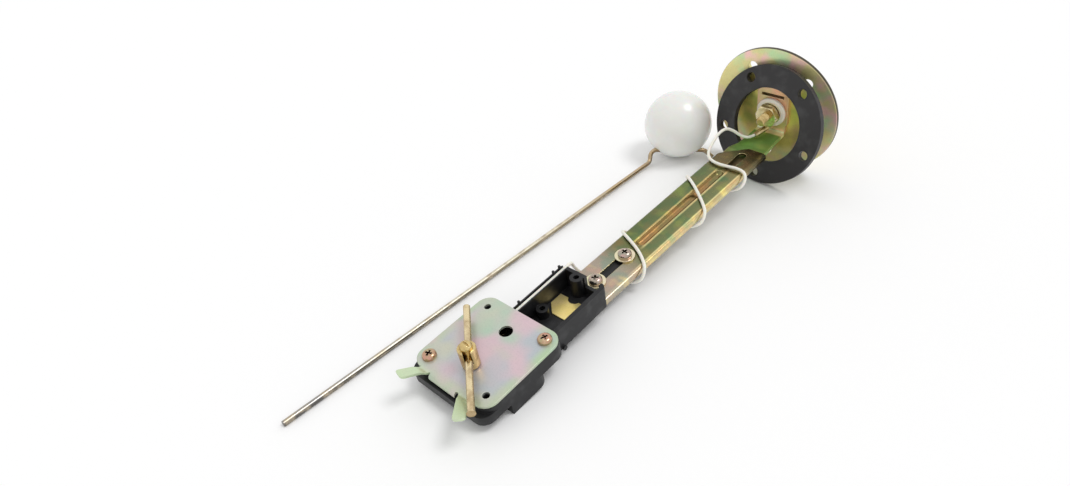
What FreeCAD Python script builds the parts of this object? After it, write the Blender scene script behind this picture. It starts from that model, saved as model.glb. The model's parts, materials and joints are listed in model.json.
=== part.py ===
"""Swing arm fuel sender, lying on a table with its float arm loose beside it.

The sender is drawn in its own axes: X across the arm, Y along the arm from the sensing head
to the tank flange, Z square to the head's cover, with the cover's top face at Z = 0 and its
centre at Y = 0.  It is then tipped until the flange rim and the head's rear block both touch
the table.  The float arm is drawn on the table itself.  All sizes are in millimetres.
"""
import FreeCAD
import Part
import math
import os

V = FreeCAD.Vector
ACROSS = V(1, 0, 0)
ALONG = V(0, 1, 0)
UP = V(0, 0, 1)

# Tank flange and its gasket
flange_dia = 71.0
flange_thick = 2.0
flange_reach = 218.5        # cover centre to the flange's inner face
flange_rise = 6.7           # flange axis above the arm's top face
bolt_circle = 54.0
bolt_count = 5
bolt_hole = 5.2
bolt_phase = 48.0           # angle of the first bolt hole from +X
flange_edge_round = 0.4
gasket_dia = 64.0
gasket_bore = 40.0
gasket_thick = 3.0
gasket_pitch = -18.4        # the loose gasket leans on the flange
gasket_yaw = -7.6
gasket_spin = 53.6
gasket_shift = 3.0          # sideways from the flange axis
gasket_gap = 0.15           # between the gasket's top edge and the flange

# Bracket that carries the arm on the flange
bracket_sheet = 2.0
bracket_bend = 2.0          # inside bend radius
foot_width = 18.0
foot_crown = 14.8           # flange axis to the crown of the foot's rounded end
foot_shoulder = 11.3        # flange axis to where the rounded end starts
foot_nib = 2.6
foot_slit_width = 13.0
foot_slit_height = 1.7
foot_slit_rise = 9.6        # flange axis to the slit's centre line
neck_width = 16.0
neck_length = 10.0          # straight neck next to the foot
leg_flare = 16.0            # length over which the neck widens to the leg
leg_width = 18.4
leg_overlap = 37.0          # leg under the arm
neck_drop = 2.4             # leg to the lower neck beside the flange
neck_joggle = 9.0           # length over which the sheet steps down

# Arm: an inverted channel with a pressed groove and a slot at each end
arm_width = 22.6
arm_depth = 2.8
arm_sheet = 1.2
arm_drop = 13.5             # cover top to the arm's top face
arm_setback = 30.9          # flange to the arm's upper end
arm_askew = -1.4            # the arm's turn in its own plane, degrees
arm_askew_setback = 108.5   # flange to the point it is turned about
arm_corner_cut = (12.5, 12.0)
arm_edge_round = 1.7
groove_radius = 2.6
groove_depth = 1.8
groove_gap = 4.5            # groove's round ends to the slots
slot_width = 4.6
slot_margin = 5.0           # upper slot to the arm's end
upper_slot_length = 17.0
upper_slot_aside = 1.5      # from the arm's middle
lower_slot = (60.0, 89.5)

# Sensing head
cover_side = 44.0
cover_thick = 1.2
cover_corner = 6.0
cover_shift = -3.7          # cover centre from the arm's axis
cover_screw_pitch = 33.0    # square pattern of corner holes
cover_hole = 3.1
sight_hole = 6.0
sight_hole_y = 10.9
body_height = 7.1           # closed body below the cover
body_wall = 2.0
body_floor = 1.8
body_corner = 5.5
ledge_reach = 2.6           # front ledge past the cover's edge
ledge_drop = 2.6            # ledge below the body's rim
block_depth = 5.7           # rear block below the closed body
block_span = (-10.4, 10.2)
block_round = 5.0
tray_width = 24.5           # open tray towards the flange
tray_shift = 0.75
tray_end = 55.0
tray_depth = 11.6           # below the cover's underside
tray_wall = 1.8
tray_wire_wall = 3.4        # wall that carries the wire in its top
tray_floor = 1.6
tray_corner = 2.0
tall_boss_dia = 6.0
tall_boss_at = (-1.1, 51.9)
short_boss_dia = 5.6
short_boss_at = (-5.3, 33.2)
short_boss_drop = 5.5       # below the tray's rim
boss_pilot = 2.6
boss_pilot_depth = 4.0
post_dia = 6.4
tongue_gap = 1.5            # each side, inside the arm's channel
tongue_thick = 3.2
tongue_end = 93.0
tongue_root = 8.0
arm_end_gap = 0.4           # arm's lower end to the tray's end wall
wire_groove = 2.2
end_notch = (2.2, 10.2)      # cut in the end wall's rim beside the first slot screw
end_notch_depth = 5.6
peg_dia = 1.3
peg_height = 1.5
pip_radius = 1.1

# Lip and stop ears on the cover's front edge, from the cover's centre
lip_span = (-9.6, 5.6)
lip_reach = 2.4
lip_drop = 2.0
ear_width = 5.0
ear_root_left = -12.3
ear_root_right = 8.1
ear_tip_left = -15.0
ear_tip_right = 20.2
ear_reach = 10.6            # past the cover's edge
ear_rise = 4.9

# Pivot, lever and wiper
pivot_x = 1.0               # from the cover's centre
pivot_y = -9.4
hub_dia = 7.6
hub_height = 10.2
hub_lift = 0.5
hub_slot_floor = 3.85
shaft_dia = 4.0
running_gap = 0.05
lever_dia = 3.0
lever_height = 5.5
lever_long = 27.8
lever_short = 26.7
lever_angle = -41.2
lever_swing = 85.0          # travel between the stop ears, degrees
lever_flare = 3.7
lever_flare_length = 1.2
lever_slot_gap = 0.1
clamp_thread = 4.0
clamp_head_dia = 5.2
clamp_head_height = 2.4
driver_slot = 0.9
bush_dia = 6.0
bush_flange_dia = 9.0
bush_flange_thick = 1.0
bush_proud = 0.2
seat_gap = 0.3
wiper_thick = 0.5
wiper_ring_dia = 8.0
wiper_reach = 13.0
wiper_width = 3.0
wiper_tip = 0.5
wiper_lead = 88.0           # wiper direction ahead of the lever's tail
ring_dia = 7.0
ring_thick = 0.6
shaft_tail = 0.6
former_thick = 2.4
former_cover = 104.0        # arc of the resistor, degrees
winding_thick = 0.3
winding_margin = 6.0        # bare former at each end, degrees

# Contact plate, wire tag and fasteners
contact_thick = 0.6
contact_x = (-7.4, 5.8)
contact_y = (35.9, 47.0)
contact_cut = 4.6
contact_notch = 6.4
contact_notch_at = (0.0, 48.2)
tag_thick = 0.8
tag_width = 3.4
tag_foot = 8.0
tag_face = 17.6             # where the wire ends
cover_screw_dia = 2.9
cover_screw_length = 6.0
cover_head_dia = 6.2
cover_head_height = 2.2
slot_screw_dia = 4.0
slot_head_dia = 6.6
slot_head_height = 2.6
slot_washer_dia = 9.6
slot_washer_thick = 0.8
slot_screws_at = (63.3, 84.3)
slot_nut_flats = 7.0
slot_nut_height = 3.0
slot_screw_proud = 1.0
recess_size = 0.9
recess_depth = 1.2

# Electrical terminal through the flange
stud_dia = 5.0
stud_inside = 6.2           # thread left free past the inner nut
stud_outside = 6.6
stud_relief = 0.25          # depth of the thread relief beside the outer nut
stud_relief_width = 0.6
insulator_dia = 16.4
insulator_rim = 2.0
insulator_outer_rim = 3.0
insulator_neck = 7.8
insulator_gap = 0.1
insulator_round = 0.6
washer_dia = 12.4
washer_thick = 0.8
nut_flats = 11.5
nut_height = 3.6
lug_dia = 9.6
lug_thick = 0.8
lug_neck = 4.6
lug_barrel_dia = 3.2
lug_start_aside = 0.8       # barrel's two ends, from the lug ring's centre
lug_start_out = 0.9
lug_start_drop = 8.5
lug_end_aside = 3.2
lug_end_out = 8.6
lug_end_drop = 9.6
lug_root = 1.3              # barrel sunk into the tongue
lug_bore_depth = 4.0
lug_bore_gap = 0.15

# Signal wire, from the lug round the arm to the head
wire_dia = 1.6
wire_points = [
    V(-2.46, 206.67, -16.06), V(-4.09, 201.46, -16.81), V(-8.2, 198.8, -15.4), V(-11.2, 196.0, -11.2),
    V(-13.2, 191.4, -7.6), V(-14.2, 185.4, -8.0), V(-14.0, 179.2, -10.4), V(-12.8, 173.6, -11.9),
    V(-9.8, 168.8, -12.2), V(-4.4, 166.4, -12.2), V(2.0, 166.6, -12.2), V(8.6, 167.4, -11.9),
    V(14.0, 166.0, -12.4), V(14.8, 162.6, -17.2), V(11.4, 159.8, -20.2), V(4.0, 158.0, -20.6),
    V(-4.6, 156.4, -20.6), V(-10.6, 154.6, -19.4), V(-12.6, 152.4, -15.6), V(-10.2, 149.8, -12.3),
    V(-3.8, 145.4, -12.2), V(3.2, 139.6, -12.2), V(9.2, 134.0, -11.8), V(13.6, 129.8, -13.2),
    V(13.2, 125.6, -18.4), V(5.0, 119.8, -18.8), V(-2.4, 113.2, -18.8), V(-9.4, 106.2, -18.8),
    V(-13.6, 100.8, -16.6), V(-12.2, 97.0, -12.6), V(-6.2, 94.2, -12.2), V(1.6, 90.6, -12.2),
    V(8.0, 86.2, -11.8), V(12.4, 82.4, -13.2), V(12.4, 78.6, -18.8), V(4.8, 75.4, -20.0),
    V(-2.4, 72.6, -20.0), V(-9.6, 69.6, -19.8), V(-14.2, 66.8, -16.8), V(-14.4, 63.8, -10.6),
    V(-12.6, 61.2, -5.6), V(-10.2, 58.0, -2.6), V(-9.8, 50.6, -2.2), V(-9.8, 39.6, -2.3),
    V(-9.8, 28.6, -2.2), V(-9.8, 17.7, -2.3),
]

# Float arm, lying on the table: positions are from the point below the cover's centre
float_dia = 39.0
float_x = -49.9
float_setback = 18.4        # flange to the float's centre
eye_offset = 15.2           # float centre to the wire's hole
eye_lean = V(0.352, -0.460, -0.815)
eye_axis = V(0.745, 0.655, -0.125)
eye_gap = 0.08
rod_dia = 2.5
rod_length = 248.9          # straight part, from its free end to the knee
rod_heading = V(0.0272, -0.9996, 0)
rod_bend = 4.0
rod_bend_out = 3.6          # bend corner past the float, on the long side
rod_knee = V(2.1, -4.1, -5.7)   # from that corner down to the straight part
tail_bend_out = 3.2
tail_length = 6.4
tail_way = V(0.78, 0.23, -0.58)

# Places that follow from the sizes above
arm_top = -arm_drop
arm_tip = flange_reach - arm_setback
upper_slot = (arm_tip - slot_margin - upper_slot_length, arm_tip - slot_margin)
groove_span = (lower_slot[1] + groove_gap + groove_radius, upper_slot[0] - groove_gap)
arm_under = arm_top - arm_sheet
notch_low = -cover_thick - end_notch_depth
leg_top = arm_top - arm_depth
flange_z = arm_top + flange_rise
foot_face = flange_reach - bracket_sheet
rim_z = -cover_thick
body_low = rim_z - body_height
body_inside = body_low + body_floor
block_low = body_low - block_depth
well_floor = block_low + body_floor
tray_low = rim_z - tray_depth
tray_inside = tray_low + tray_floor
tray_left = tray_shift - tray_width / 2
tray_right = tray_shift + tray_width / 2
half_cover = cover_side / 2
pivot = V(cover_shift + pivot_x, pivot_y, 0)
tongue_width = arm_width - 2 * arm_sheet - 2 * tongue_gap
wire_wall_x = tray_left + tray_wire_wall / 2
bush_low = rim_z - bush_flange_thick
wiper_top = bush_low - seat_gap
wiper_low = wiper_top - wiper_thick
winding_top = wiper_low - wiper_tip - seat_gap
tip_angle = math.degrees(math.atan2(block_low - flange_z + flange_dia / 2, flange_reach - block_span[0]))


def box(x_span, y_span, z_span):
    """Block between two limits on each axis."""
    corner = V(x_span[0], y_span[0], z_span[0])
    return Part.makeBox(x_span[1] - x_span[0], y_span[1] - y_span[0], z_span[1] - z_span[0], corner)


def rod(dia, start, way, length):
    """Round bar from a point along a direction."""
    return Part.makeCylinder(dia / 2, length, start, way)


def tube(dia, bore, start, way, length):
    """Round bar with a bore right through."""
    return rod(dia, start, way, length).cut(rod(bore, start, way, length))


def prism(points, way):
    """Flat outline pushed along a vector."""
    return Part.Face(Part.makePolygon(points + points[:1])).extrude(way)


def edges_where(shape, test):
    """Edges whose two ends both pass a test."""
    return [edge for edge in shape.Edges if all(test(vertex.Point) for vertex in edge.Vertexes)]


def upright_edges(shape):
    """Straight edges that run along Z."""
    return [edge for edge in shape.Edges
            if len(edge.Vertexes) == 2
            and abs(abs((edge.Vertexes[1].Point - edge.Vertexes[0].Point).z) - edge.Length) < 1e-6]


def round_edges(shape, dia):
    """Circular edges of one diameter."""
    return [edge for edge in shape.Edges
            if isinstance(edge.Curve, Part.Circle) and abs(edge.Curve.Radius - dia / 2) < 1e-6]


def rounded_block(x_span, y_span, z_span, radius):
    """Block with its upright edges rounded."""
    block = box(x_span, y_span, z_span)
    return block.makeFillet(radius, upright_edges(block))


def along_arm(shape):
    """Shape turned with the arm, which lies slightly askew."""
    shape.rotate(V(0, flange_reach - arm_askew_setback, 0), UP, arm_askew)
    return shape


def rounded_slot(width, y_span, z_span):
    """Solid of a slot along Y with round ends, to cut with."""
    radius = width / 2
    ends = (y_span[0] + radius, y_span[1] - radius)
    depth = z_span[1] - z_span[0]
    slot = box((-radius, radius), ends, z_span)
    for end in ends:
        slot = slot.fuse(rod(width, V(0, end, z_span[0]), UP, depth))
    return slot


def bolt_holes(dia, depth, phase):
    """Bolt circle of cutters about the Y axis."""
    holes = []
    for index in range(bolt_count):
        angle = math.radians(phase + 360.0 * index / bolt_count)
        centre = V(bolt_circle / 2 * math.cos(angle), 0, bolt_circle / 2 * math.sin(angle))
        holes.append(rod(dia, centre, ALONG, depth))
    return Part.makeCompound(holes)


def hex_nut(flats, height, bore, start, way):
    """Hexagon nut with both faces chamfered."""
    corner = flats / math.sqrt(3)
    points = [V(corner * math.cos(math.radians(a)), corner * math.sin(math.radians(a)), 0)
              for a in range(0, 360, 60)]
    turned = rod(2 * corner, V(), UP, height)
    turned = turned.makeChamfer(corner - flats / 2, turned.Edges[0:1] + turned.Edges[2:3])
    nut = prism(points, UP * height).common(turned).cut(rod(bore, V(), UP, height))
    nut.Placement = FreeCAD.Placement(start, FreeCAD.Rotation(UP, way))
    return nut


def pan_screw(head_dia, head_height, shank_dia, shank_length, seat):
    """Pan-head screw with a cross recess, its head standing on a seat."""
    head = rod(head_dia, seat, UP, head_height)
    top = [edge for edge in round_edges(head, head_dia) if edge.Curve.Center.z > seat.z + 1e-6]
    head = head.makeFillet(head_height * 0.62, top)
    for turn in (0, 90):
        arm = box((-head_dia * 0.3, head_dia * 0.3), (-recess_size / 2, recess_size / 2), (-recess_depth, 1))
        arm.rotate(V(), UP, turn + 45)
        arm.translate(seat + UP * head_height)
        head = head.cut(arm)
    return head.fuse(rod(shank_dia, seat - UP * shank_length, UP, shank_length))


def flange_plate():
    """Round steel flange with its bolt circle and the terminal's hole."""
    axis_point = V(0, flange_reach, flange_z)
    disc = rod(flange_dia, axis_point, ALONG, flange_thick)
    disc = disc.makeFillet(flange_edge_round, round_edges(disc, flange_dia))
    holes = bolt_holes(bolt_hole, flange_thick, bolt_phase)
    holes.translate(axis_point)
    return disc.cut(holes).cut(rod(insulator_neck + 2 * insulator_gap, axis_point, ALONG, flange_thick))


def flange_gasket():
    """Loose rubber ring that stands on the table and leans on the flange."""
    ring = tube(gasket_dia, gasket_bore, V(0, -gasket_thick / 2, 0), ALONG, gasket_thick)
    holes = bolt_holes(bolt_hole, gasket_thick, gasket_spin)
    holes.translate(V(0, -gasket_thick / 2, 0))
    ring = ring.cut(holes)
    ring.rotate(V(), ACROSS, gasket_pitch)
    ring.rotate(V(), UP, gasket_yaw)
    ring.translate(V(gasket_shift, flange_reach - gasket_gap - ring.optimalBoundingBox().YMax, flange_z))
    height = settle(ring).optimalBoundingBox().ZMin
    ring.translate(V(0, 0, -height / math.cos(math.radians(tip_angle))))
    return ring


def arm_bracket():
    """Foot on the flange bent into a leg that lies under the arm."""
    sheet = UP * bracket_sheet
    neck_top = leg_top - neck_drop
    neck_low = neck_top - bracket_sheet
    leg_end = arm_tip - leg_overlap
    crown = flange_z + foot_crown
    half = leg_width / 2
    side = [V(-half, leg_end, leg_top), V(-half, arm_tip, leg_top), V(-half, arm_tip + neck_joggle, neck_top)]
    low_side = [point - sheet for point in reversed(side)]
    upright = [V(-half, foot_face, neck_top), V(-half, foot_face, crown + foot_nib),
               V(-half, flange_reach, crown + foot_nib), V(-half, flange_reach, neck_low)]
    bent = prism(side + upright + low_side, ACROSS * leg_width)
    inner = edges_where(bent, lambda p: abs(p.y - foot_face) < 1e-6 and abs(p.z - neck_top) < 1e-6)
    bent = bent.makeFillet(bracket_bend, inner)
    outer = edges_where(bent, lambda p: abs(p.y - flange_reach) < 1e-6 and abs(p.z - neck_low) < 1e-6)
    bent = bent.makeFillet(bracket_bend + bracket_sheet, outer)
    neck_end = foot_face - neck_length
    flare_end = neck_end - leg_flare
    leg_plan = [V(-neck_width / 2, flange_reach, 0), V(-neck_width / 2, neck_end, 0), V(-half, flare_end, 0),
                V(-half, leg_end, 0), V(half, leg_end, 0), V(half, flare_end, 0),
                V(neck_width / 2, neck_end, 0), V(neck_width / 2, flange_reach, 0)]
    bend_top = leg_top + bracket_bend
    leg_room = prism([point + UP * neck_low for point in leg_plan], UP * (bend_top - neck_low))
    bracket = bent.common(leg_room.fuse(foot_outline(bend_top)))
    slit_z = flange_z + foot_slit_rise
    slit = box((-foot_slit_width / 2, foot_slit_width / 2), (foot_face, flange_reach),
               (slit_z - foot_slit_height / 2, slit_z + foot_slit_height / 2))
    hole = rod(insulator_neck + 2 * insulator_gap, V(0, foot_face, flange_z), ALONG, bracket_sheet)
    return bracket.cut(slit).cut(hole)


def foot_outline(bottom):
    """Foot's outline above the bend: straight sides, a rounded end and a small nib."""
    half = foot_width / 2
    neck_half = neck_width / 2
    shoulder = flange_z + foot_shoulder
    crown = flange_z + foot_crown
    front = foot_face
    corners = [V(half, front, shoulder), V(half, front, bottom + half - neck_half),
               V(neck_half, front, bottom), V(-neck_half, front, bottom),
               V(-half, front, bottom + half - neck_half), V(-half, front, shoulder)]
    sides = Part.makePolygon(corners)
    end = Part.Arc(corners[-1], V(0, front, crown), corners[0]).toShape()
    outline = Part.Face(Part.Wire(sides.Edges + [end])).extrude(ALONG * bracket_sheet)
    nib_foot = crown - foot_nib / 2
    nib_tip = V(foot_nib, front, crown + foot_nib)
    nib = prism([V(0, front, nib_foot), V(2 * foot_nib, front, nib_foot), nib_tip], ALONG * bracket_sheet)
    return outline.fuse(nib)


def capsule(radius, y_span, z):
    """Round-ended bar along Y."""
    shape = rod(2 * radius, V(0, y_span[0], z), ALONG, y_span[1] - y_span[0])
    for y in y_span:
        shape = shape.fuse(Part.makeSphere(radius, V(0, y, z)))
    return shape


def ribbed_arm():
    """Inverted channel with a pressed groove, a slot at each end and one corner cut off."""
    start = tray_end + arm_end_gap
    half = arm_width / 2
    outside = box((-half, half), (start, arm_tip), (leg_top, arm_top))
    top_edges = edges_where(outside, lambda p: p.z > arm_top - 1e-6 and abs(p.x) > half - 1e-6)
    long_edges = [edge for edge in top_edges if edge.Length > arm_width]
    outside = outside.makeFillet(arm_edge_round, long_edges)
    inside = box((-half + arm_sheet, half - arm_sheet), (start, arm_tip), (leg_top, arm_under))
    top_edges = edges_where(inside, lambda p: p.z > arm_under - 1e-6)
    long_edges = [edge for edge in top_edges if edge.Length > arm_width]
    inside = inside.makeFillet(arm_edge_round - arm_sheet, long_edges)
    groove_z = arm_top + groove_radius - groove_depth
    bead = capsule(groove_radius + arm_sheet, groove_span, groove_z)
    bead = bead.common(box((-half, half), (start, arm_tip), (leg_top, arm_under)))
    arm = outside.cut(inside).fuse(bead).cut(capsule(groove_radius, groove_span, groove_z))
    upper = rounded_slot(slot_width, upper_slot, (leg_top, arm_top))
    upper.translate(ACROSS * upper_slot_aside)
    arm = arm.cut(rounded_slot(slot_width, lower_slot, (leg_top, arm_top))).cut(upper)
    cut_x, cut_y = arm_corner_cut
    corner = [V(-half, arm_tip, leg_top), V(-half, arm_tip - cut_y, leg_top),
              V(-half + cut_x, arm_tip, leg_top)]
    return along_arm(arm.cut(prism(corner, UP * arm_depth)))


def terminal_pieces():
    """Insulated stud through the foot and the flange, with its washers, nuts and wire lug."""
    axis_point = V(0, flange_reach, flange_z)
    stack = bracket_sheet + flange_thick
    inner_face = foot_face - insulator_rim
    bore = stud_dia + 2 * insulator_gap
    rim = rod(insulator_dia, V(0, inner_face, flange_z), ALONG, insulator_rim)
    rim = rim.makeFillet(insulator_round, round_edges(rim, insulator_dia))
    inner = rim.fuse(rod(insulator_neck, V(0, foot_face, flange_z), ALONG, stack))
    inner = inner.cut(rod(bore, V(0, inner_face, flange_z), ALONG, stack + insulator_rim))
    outer_start = flange_reach + flange_thick
    outer = tube(insulator_dia, bore, V(0, outer_start, flange_z), ALONG, insulator_outer_rim)
    outer = outer.makeFillet(insulator_round, round_edges(outer, insulator_dia))
    washer_in = inner_face - washer_thick
    lug_face = washer_in - lug_thick
    nut_in = lug_face - nut_height
    washer_out = outer_start + insulator_outer_rim
    nut_out = washer_out + washer_thick
    stud_start = nut_in - stud_inside
    stud_end = nut_out + nut_height + stud_outside
    stud = rod(stud_dia, V(0, stud_start, flange_z), ALONG, stud_end - stud_start)
    stud = stud.makeChamfer(stud_dia * 0.1, round_edges(stud, stud_dia))
    relief_start = V(0, nut_out + nut_height, flange_z)
    stud = stud.cut(tube(stud_dia, stud_dia - 2 * stud_relief, relief_start, ALONG, stud_relief_width))
    return {
        "inner_insulator": inner,
        "outer_insulator": outer,
        "inner_washer": tube(washer_dia, stud_dia, V(0, washer_in, flange_z), ALONG, washer_thick),
        "outer_washer": tube(washer_dia, stud_dia, V(0, washer_out, flange_z), ALONG, washer_thick),
        "inner_nut": hex_nut(nut_flats, nut_height, stud_dia, V(0, nut_in, flange_z), ALONG),
        "outer_nut": hex_nut(nut_flats, nut_height, stud_dia, V(0, nut_out, flange_z), ALONG),
        "terminal_stud": stud,
        "ring_terminal": ring_terminal(V(axis_point.x, lug_face, flange_z)),
    }


def ring_terminal(centre):
    """Crimp lug: a ring under the nut and a tongue bent forward into a barrel."""
    ring = tube(lug_dia, stud_dia, centre, ALONG, lug_thick)
    start = centre - V(lug_start_aside, lug_start_out, lug_start_drop)
    end = centre - V(lug_end_aside, lug_end_out, lug_end_drop)
    way = end - start
    root = V(way).normalize() * lug_root
    barrel = rod(lug_barrel_dia, start - root, way, way.Length + lug_root)
    half = lug_neck / 2
    tongue = prism([centre + V(-half, 0, -stud_dia / 2), centre + V(half, 0, -stud_dia / 2),
                    centre + V(half - lug_start_aside, 0, -lug_start_drop),
                    centre + V(-half - lug_start_aside, 0, -lug_start_drop)], ALONG * lug_thick)
    tongue = tongue.cut(rod(stud_dia, centre, ALONG, lug_thick))
    bore = rod(wire_dia + 2 * lug_bore_gap, end, -way, lug_bore_depth)
    return ring.fuse([tongue, barrel]).cut(bore).removeSplitter()


def resistor_housing():
    """Moulded body: closed chamber and rear well, open tray, bosses, posts and the arm's tongue."""
    x_span = (cover_shift - half_cover, cover_shift + half_cover)
    y_span = (-half_cover, half_cover)
    body = rounded_block(x_span, y_span, (body_low, rim_z), body_corner)
    block = box(x_span, block_span, (block_low, body_low))
    far = [edge for edge in upright_edges(block) if edge.CenterOfMass.y > 0]
    block = block.makeFillet(block_round, far)
    tray = rounded_block((tray_left, tray_right), (half_cover - 2 * body_wall, tray_end),
                         (tray_low, rim_z), tray_corner)
    half_tongue = tongue_width / 2
    tongue_low = arm_under - tongue_thick
    root = box((-half_tongue, half_tongue), (tray_end - tongue_root, tray_end), (tongue_low, tray_low))
    tongue = along_arm(rounded_block((-half_tongue, half_tongue), (tray_end - tongue_root, tongue_end),
                                     (tongue_low, arm_under), tray_corner))
    pip_foot = V(tray_right, half_cover + 3 * pip_radius, tray_low + pip_radius / 2)
    pip = rod(2 * pip_radius, pip_foot - ACROSS * tray_wall, ACROSS, tray_wall + pip_radius)
    ledge = rounded_block(x_span, (y_span[0] - ledge_reach, 0), (body_low, rim_z - ledge_drop), body_corner)
    solid = body.fuse([ledge, block, tray, root, tongue, pip])
    wall = body_wall
    chamber = rounded_block((x_span[0] + wall, x_span[1] - wall), (y_span[0] + wall, y_span[1] - wall),
                            (body_inside, rim_z), body_corner - wall)
    well = box((x_span[0] + wall, x_span[1] - wall), (block_span[0] + wall, block_span[1] - wall),
               (well_floor, body_inside))
    hollow = box((tray_left + tray_wire_wall, tray_right - tray_wall), (half_cover, tray_end - tray_wall),
                 (tray_inside, rim_z))
    notch = box(end_notch, (tray_end - 2 * tray_wall, tray_end), (notch_low, rim_z))
    solid = solid.cut(chamber).cut(well).cut(hollow).cut(notch)
    solid = solid.fuse(housing_posts() + tray_bosses() + wire_pegs())
    return solid.cut(housing_holes()).removeSplitter()


def corner_points(z):
    """Corner hole places of the cover at one height."""
    half = cover_screw_pitch / 2
    return [V(cover_shift + x * half, y * half, z) for x, y in ((-1, -1), (1, 1), (-1, 1), (1, -1))]


def housing_posts():
    """Four posts under the cover's corner holes."""
    return [rod(post_dia, point, UP, rim_z - body_inside) for point in corner_points(body_inside)]


def tray_bosses():
    """Tall boss at the tray's end wall and a short one beside the contact plate."""
    tall = rod(tall_boss_dia, V(*tall_boss_at, tray_inside), UP, rim_z - tray_inside)
    short_top = rim_z - short_boss_drop
    short = rod(short_boss_dia, V(*short_boss_at, tray_inside), UP, short_top - tray_inside)
    return [tall, short]


def wire_pegs():
    """Small pegs that keep the wire in its groove."""
    outer = tray_left + peg_dia / 2
    return [rod(peg_dia, V(outer, y, rim_z), UP, peg_height)
            for y in (half_cover + 4, tray_end - 7, tray_end - 3)]


def housing_holes():
    """Cutters: screw pilots, boss pilots, the wire's groove and the slot screws' holes."""
    depth = boss_pilot_depth
    corners = corner_points(rim_z)
    cutters = [rod(cover_screw_dia, point - UP * cover_screw_length, UP, cover_screw_length)
               for point in corners[:2]]
    cutters += [rod(boss_pilot, point - UP * depth, UP, depth) for point in corners[2:]]
    cutters.append(rod(boss_pilot, V(*tall_boss_at, rim_z - depth), UP, depth))
    cutters.append(rod(boss_pilot, V(*short_boss_at, rim_z - short_boss_drop - depth), UP, depth))
    half_groove = wire_groove / 2
    cutters.append(box((wire_wall_x - half_groove, wire_wall_x + half_groove), (tag_face - 1, tray_end),
                       (rim_z - 2 * wire_groove, rim_z)))
    for y in slot_screws_at:
        cutters.append(along_arm(rod(slot_screw_dia, V(0, y, arm_under - tongue_thick), UP, tongue_thick)))
    return Part.makeCompound(cutters)


def cover_ear(root_x, tip_x):
    """One stop ear: a strip that leaves the cover's end edge and rises to its tip."""
    root = V(root_x, -half_cover + ear_width / 2, -cover_thick)
    tip = V(tip_x, -half_cover - ear_reach, ear_rise)
    way = tip - root
    plan = V(way.x, way.y, 0)
    side = V(-plan.y, plan.x, 0).normalize() * (ear_width / 2)
    base = Part.makePolygon([root + side, root - side, tip - side, tip + side, root + side])
    strip = Part.Face(base).extrude(UP * cover_thick)
    tip_edges = [edge for edge in upright_edges(strip) if (edge.CenterOfMass - tip).Length < ear_width]
    return strip.makeFillet(ear_width * 0.3, tip_edges)


def cover_lip():
    """Front edge of the cover, pressed down over the housing's ledge between the ears."""
    x0, x1 = lip_span
    edge = -half_cover
    top = [V(x0, edge + lip_reach, 0), V(x0, edge, 0), V(x0, edge - lip_reach, -lip_drop)]
    low = [point - UP * cover_thick for point in reversed(top)]
    return prism(top + low, ACROSS * (x1 - x0))


def cover_plate():
    """Square steel cover with corner holes, a sight hole, the pivot's hole, a lip and two stop ears."""
    span = (-half_cover, half_cover)
    plate = rounded_block(span, span, (-cover_thick, 0), cover_corner)
    ears = [cover_ear(ear_root_left, ear_tip_left), cover_ear(ear_root_right, ear_tip_right)]
    plate = plate.fuse(ears + [cover_lip()])
    plate.translate(V(cover_shift, 0, 0))
    plate = plate.removeSplitter()
    holes = [rod(cover_hole, point, UP, cover_thick) for point in corner_points(-cover_thick)]
    holes.append(rod(sight_hole, V(cover_shift, sight_hole_y, -cover_thick), UP, cover_thick))
    holes.append(rod(bush_dia, pivot - UP * cover_thick, UP, cover_thick))
    return plate.cut(Part.makeCompound(holes))


def lever_way(angle=0.0):
    """Direction of the lever's long end, turned by an angle about the pivot."""
    turn = math.radians(lever_angle + angle)
    return V(math.cos(turn), math.sin(turn), 0)


def pivot_bush():
    """Flanged bush pressed into the cover from below."""
    barrel = rod(bush_dia, pivot + UP * rim_z, UP, cover_thick + bush_proud)
    flange = rod(bush_flange_dia, pivot + UP * bush_low, UP, bush_flange_thick)
    depth = cover_thick + bush_flange_thick + bush_proud
    bore = rod(shaft_dia + 2 * running_gap, pivot + UP * bush_low, UP, depth)
    return barrel.fuse(flange).cut(bore).removeSplitter()


def pivot_hub():
    """Slotted post and its shaft, turned in one piece."""
    post = rod(hub_dia, pivot + UP * hub_lift, UP, hub_height - hub_lift)
    post = post.makeChamfer(0.4, round_edges(post, hub_dia))
    shaft_low = wiper_low - ring_thick - shaft_tail
    hub = post.fuse(rod(shaft_dia, pivot + UP * shaft_low, UP, hub_lift - shaft_low))
    slot_width_here = lever_dia + 2 * lever_slot_gap
    slot = box((-hub_dia, hub_dia), (-slot_width_here / 2, slot_width_here / 2), (hub_slot_floor, hub_height))
    slot.rotate(V(), UP, lever_angle)
    slot.translate(pivot)
    thread = rod(clamp_thread, pivot + UP * hub_slot_floor, UP, hub_height - hub_slot_floor)
    return hub.cut(slot).cut(thread).removeSplitter()


def clamp_screw():
    """Round-headed screw that presses the lever into the hub's slot."""
    head = rod(clamp_head_dia, pivot + UP * hub_height, UP, clamp_head_height)
    top = [edge for edge in round_edges(head, clamp_head_dia) if edge.Curve.Center.z > hub_height + 1e-6]
    head = head.makeFillet(clamp_head_height * 0.8, top)
    cut = box((-clamp_head_dia, clamp_head_dia), (-driver_slot / 2, driver_slot / 2), (-driver_slot, 1))
    cut.translate(pivot + UP * (hub_height + clamp_head_height))
    shank_low = lever_height + lever_dia / 2
    return head.cut(cut).fuse(rod(clamp_thread, pivot + UP * shank_low, UP, hub_height - shank_low))


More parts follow.
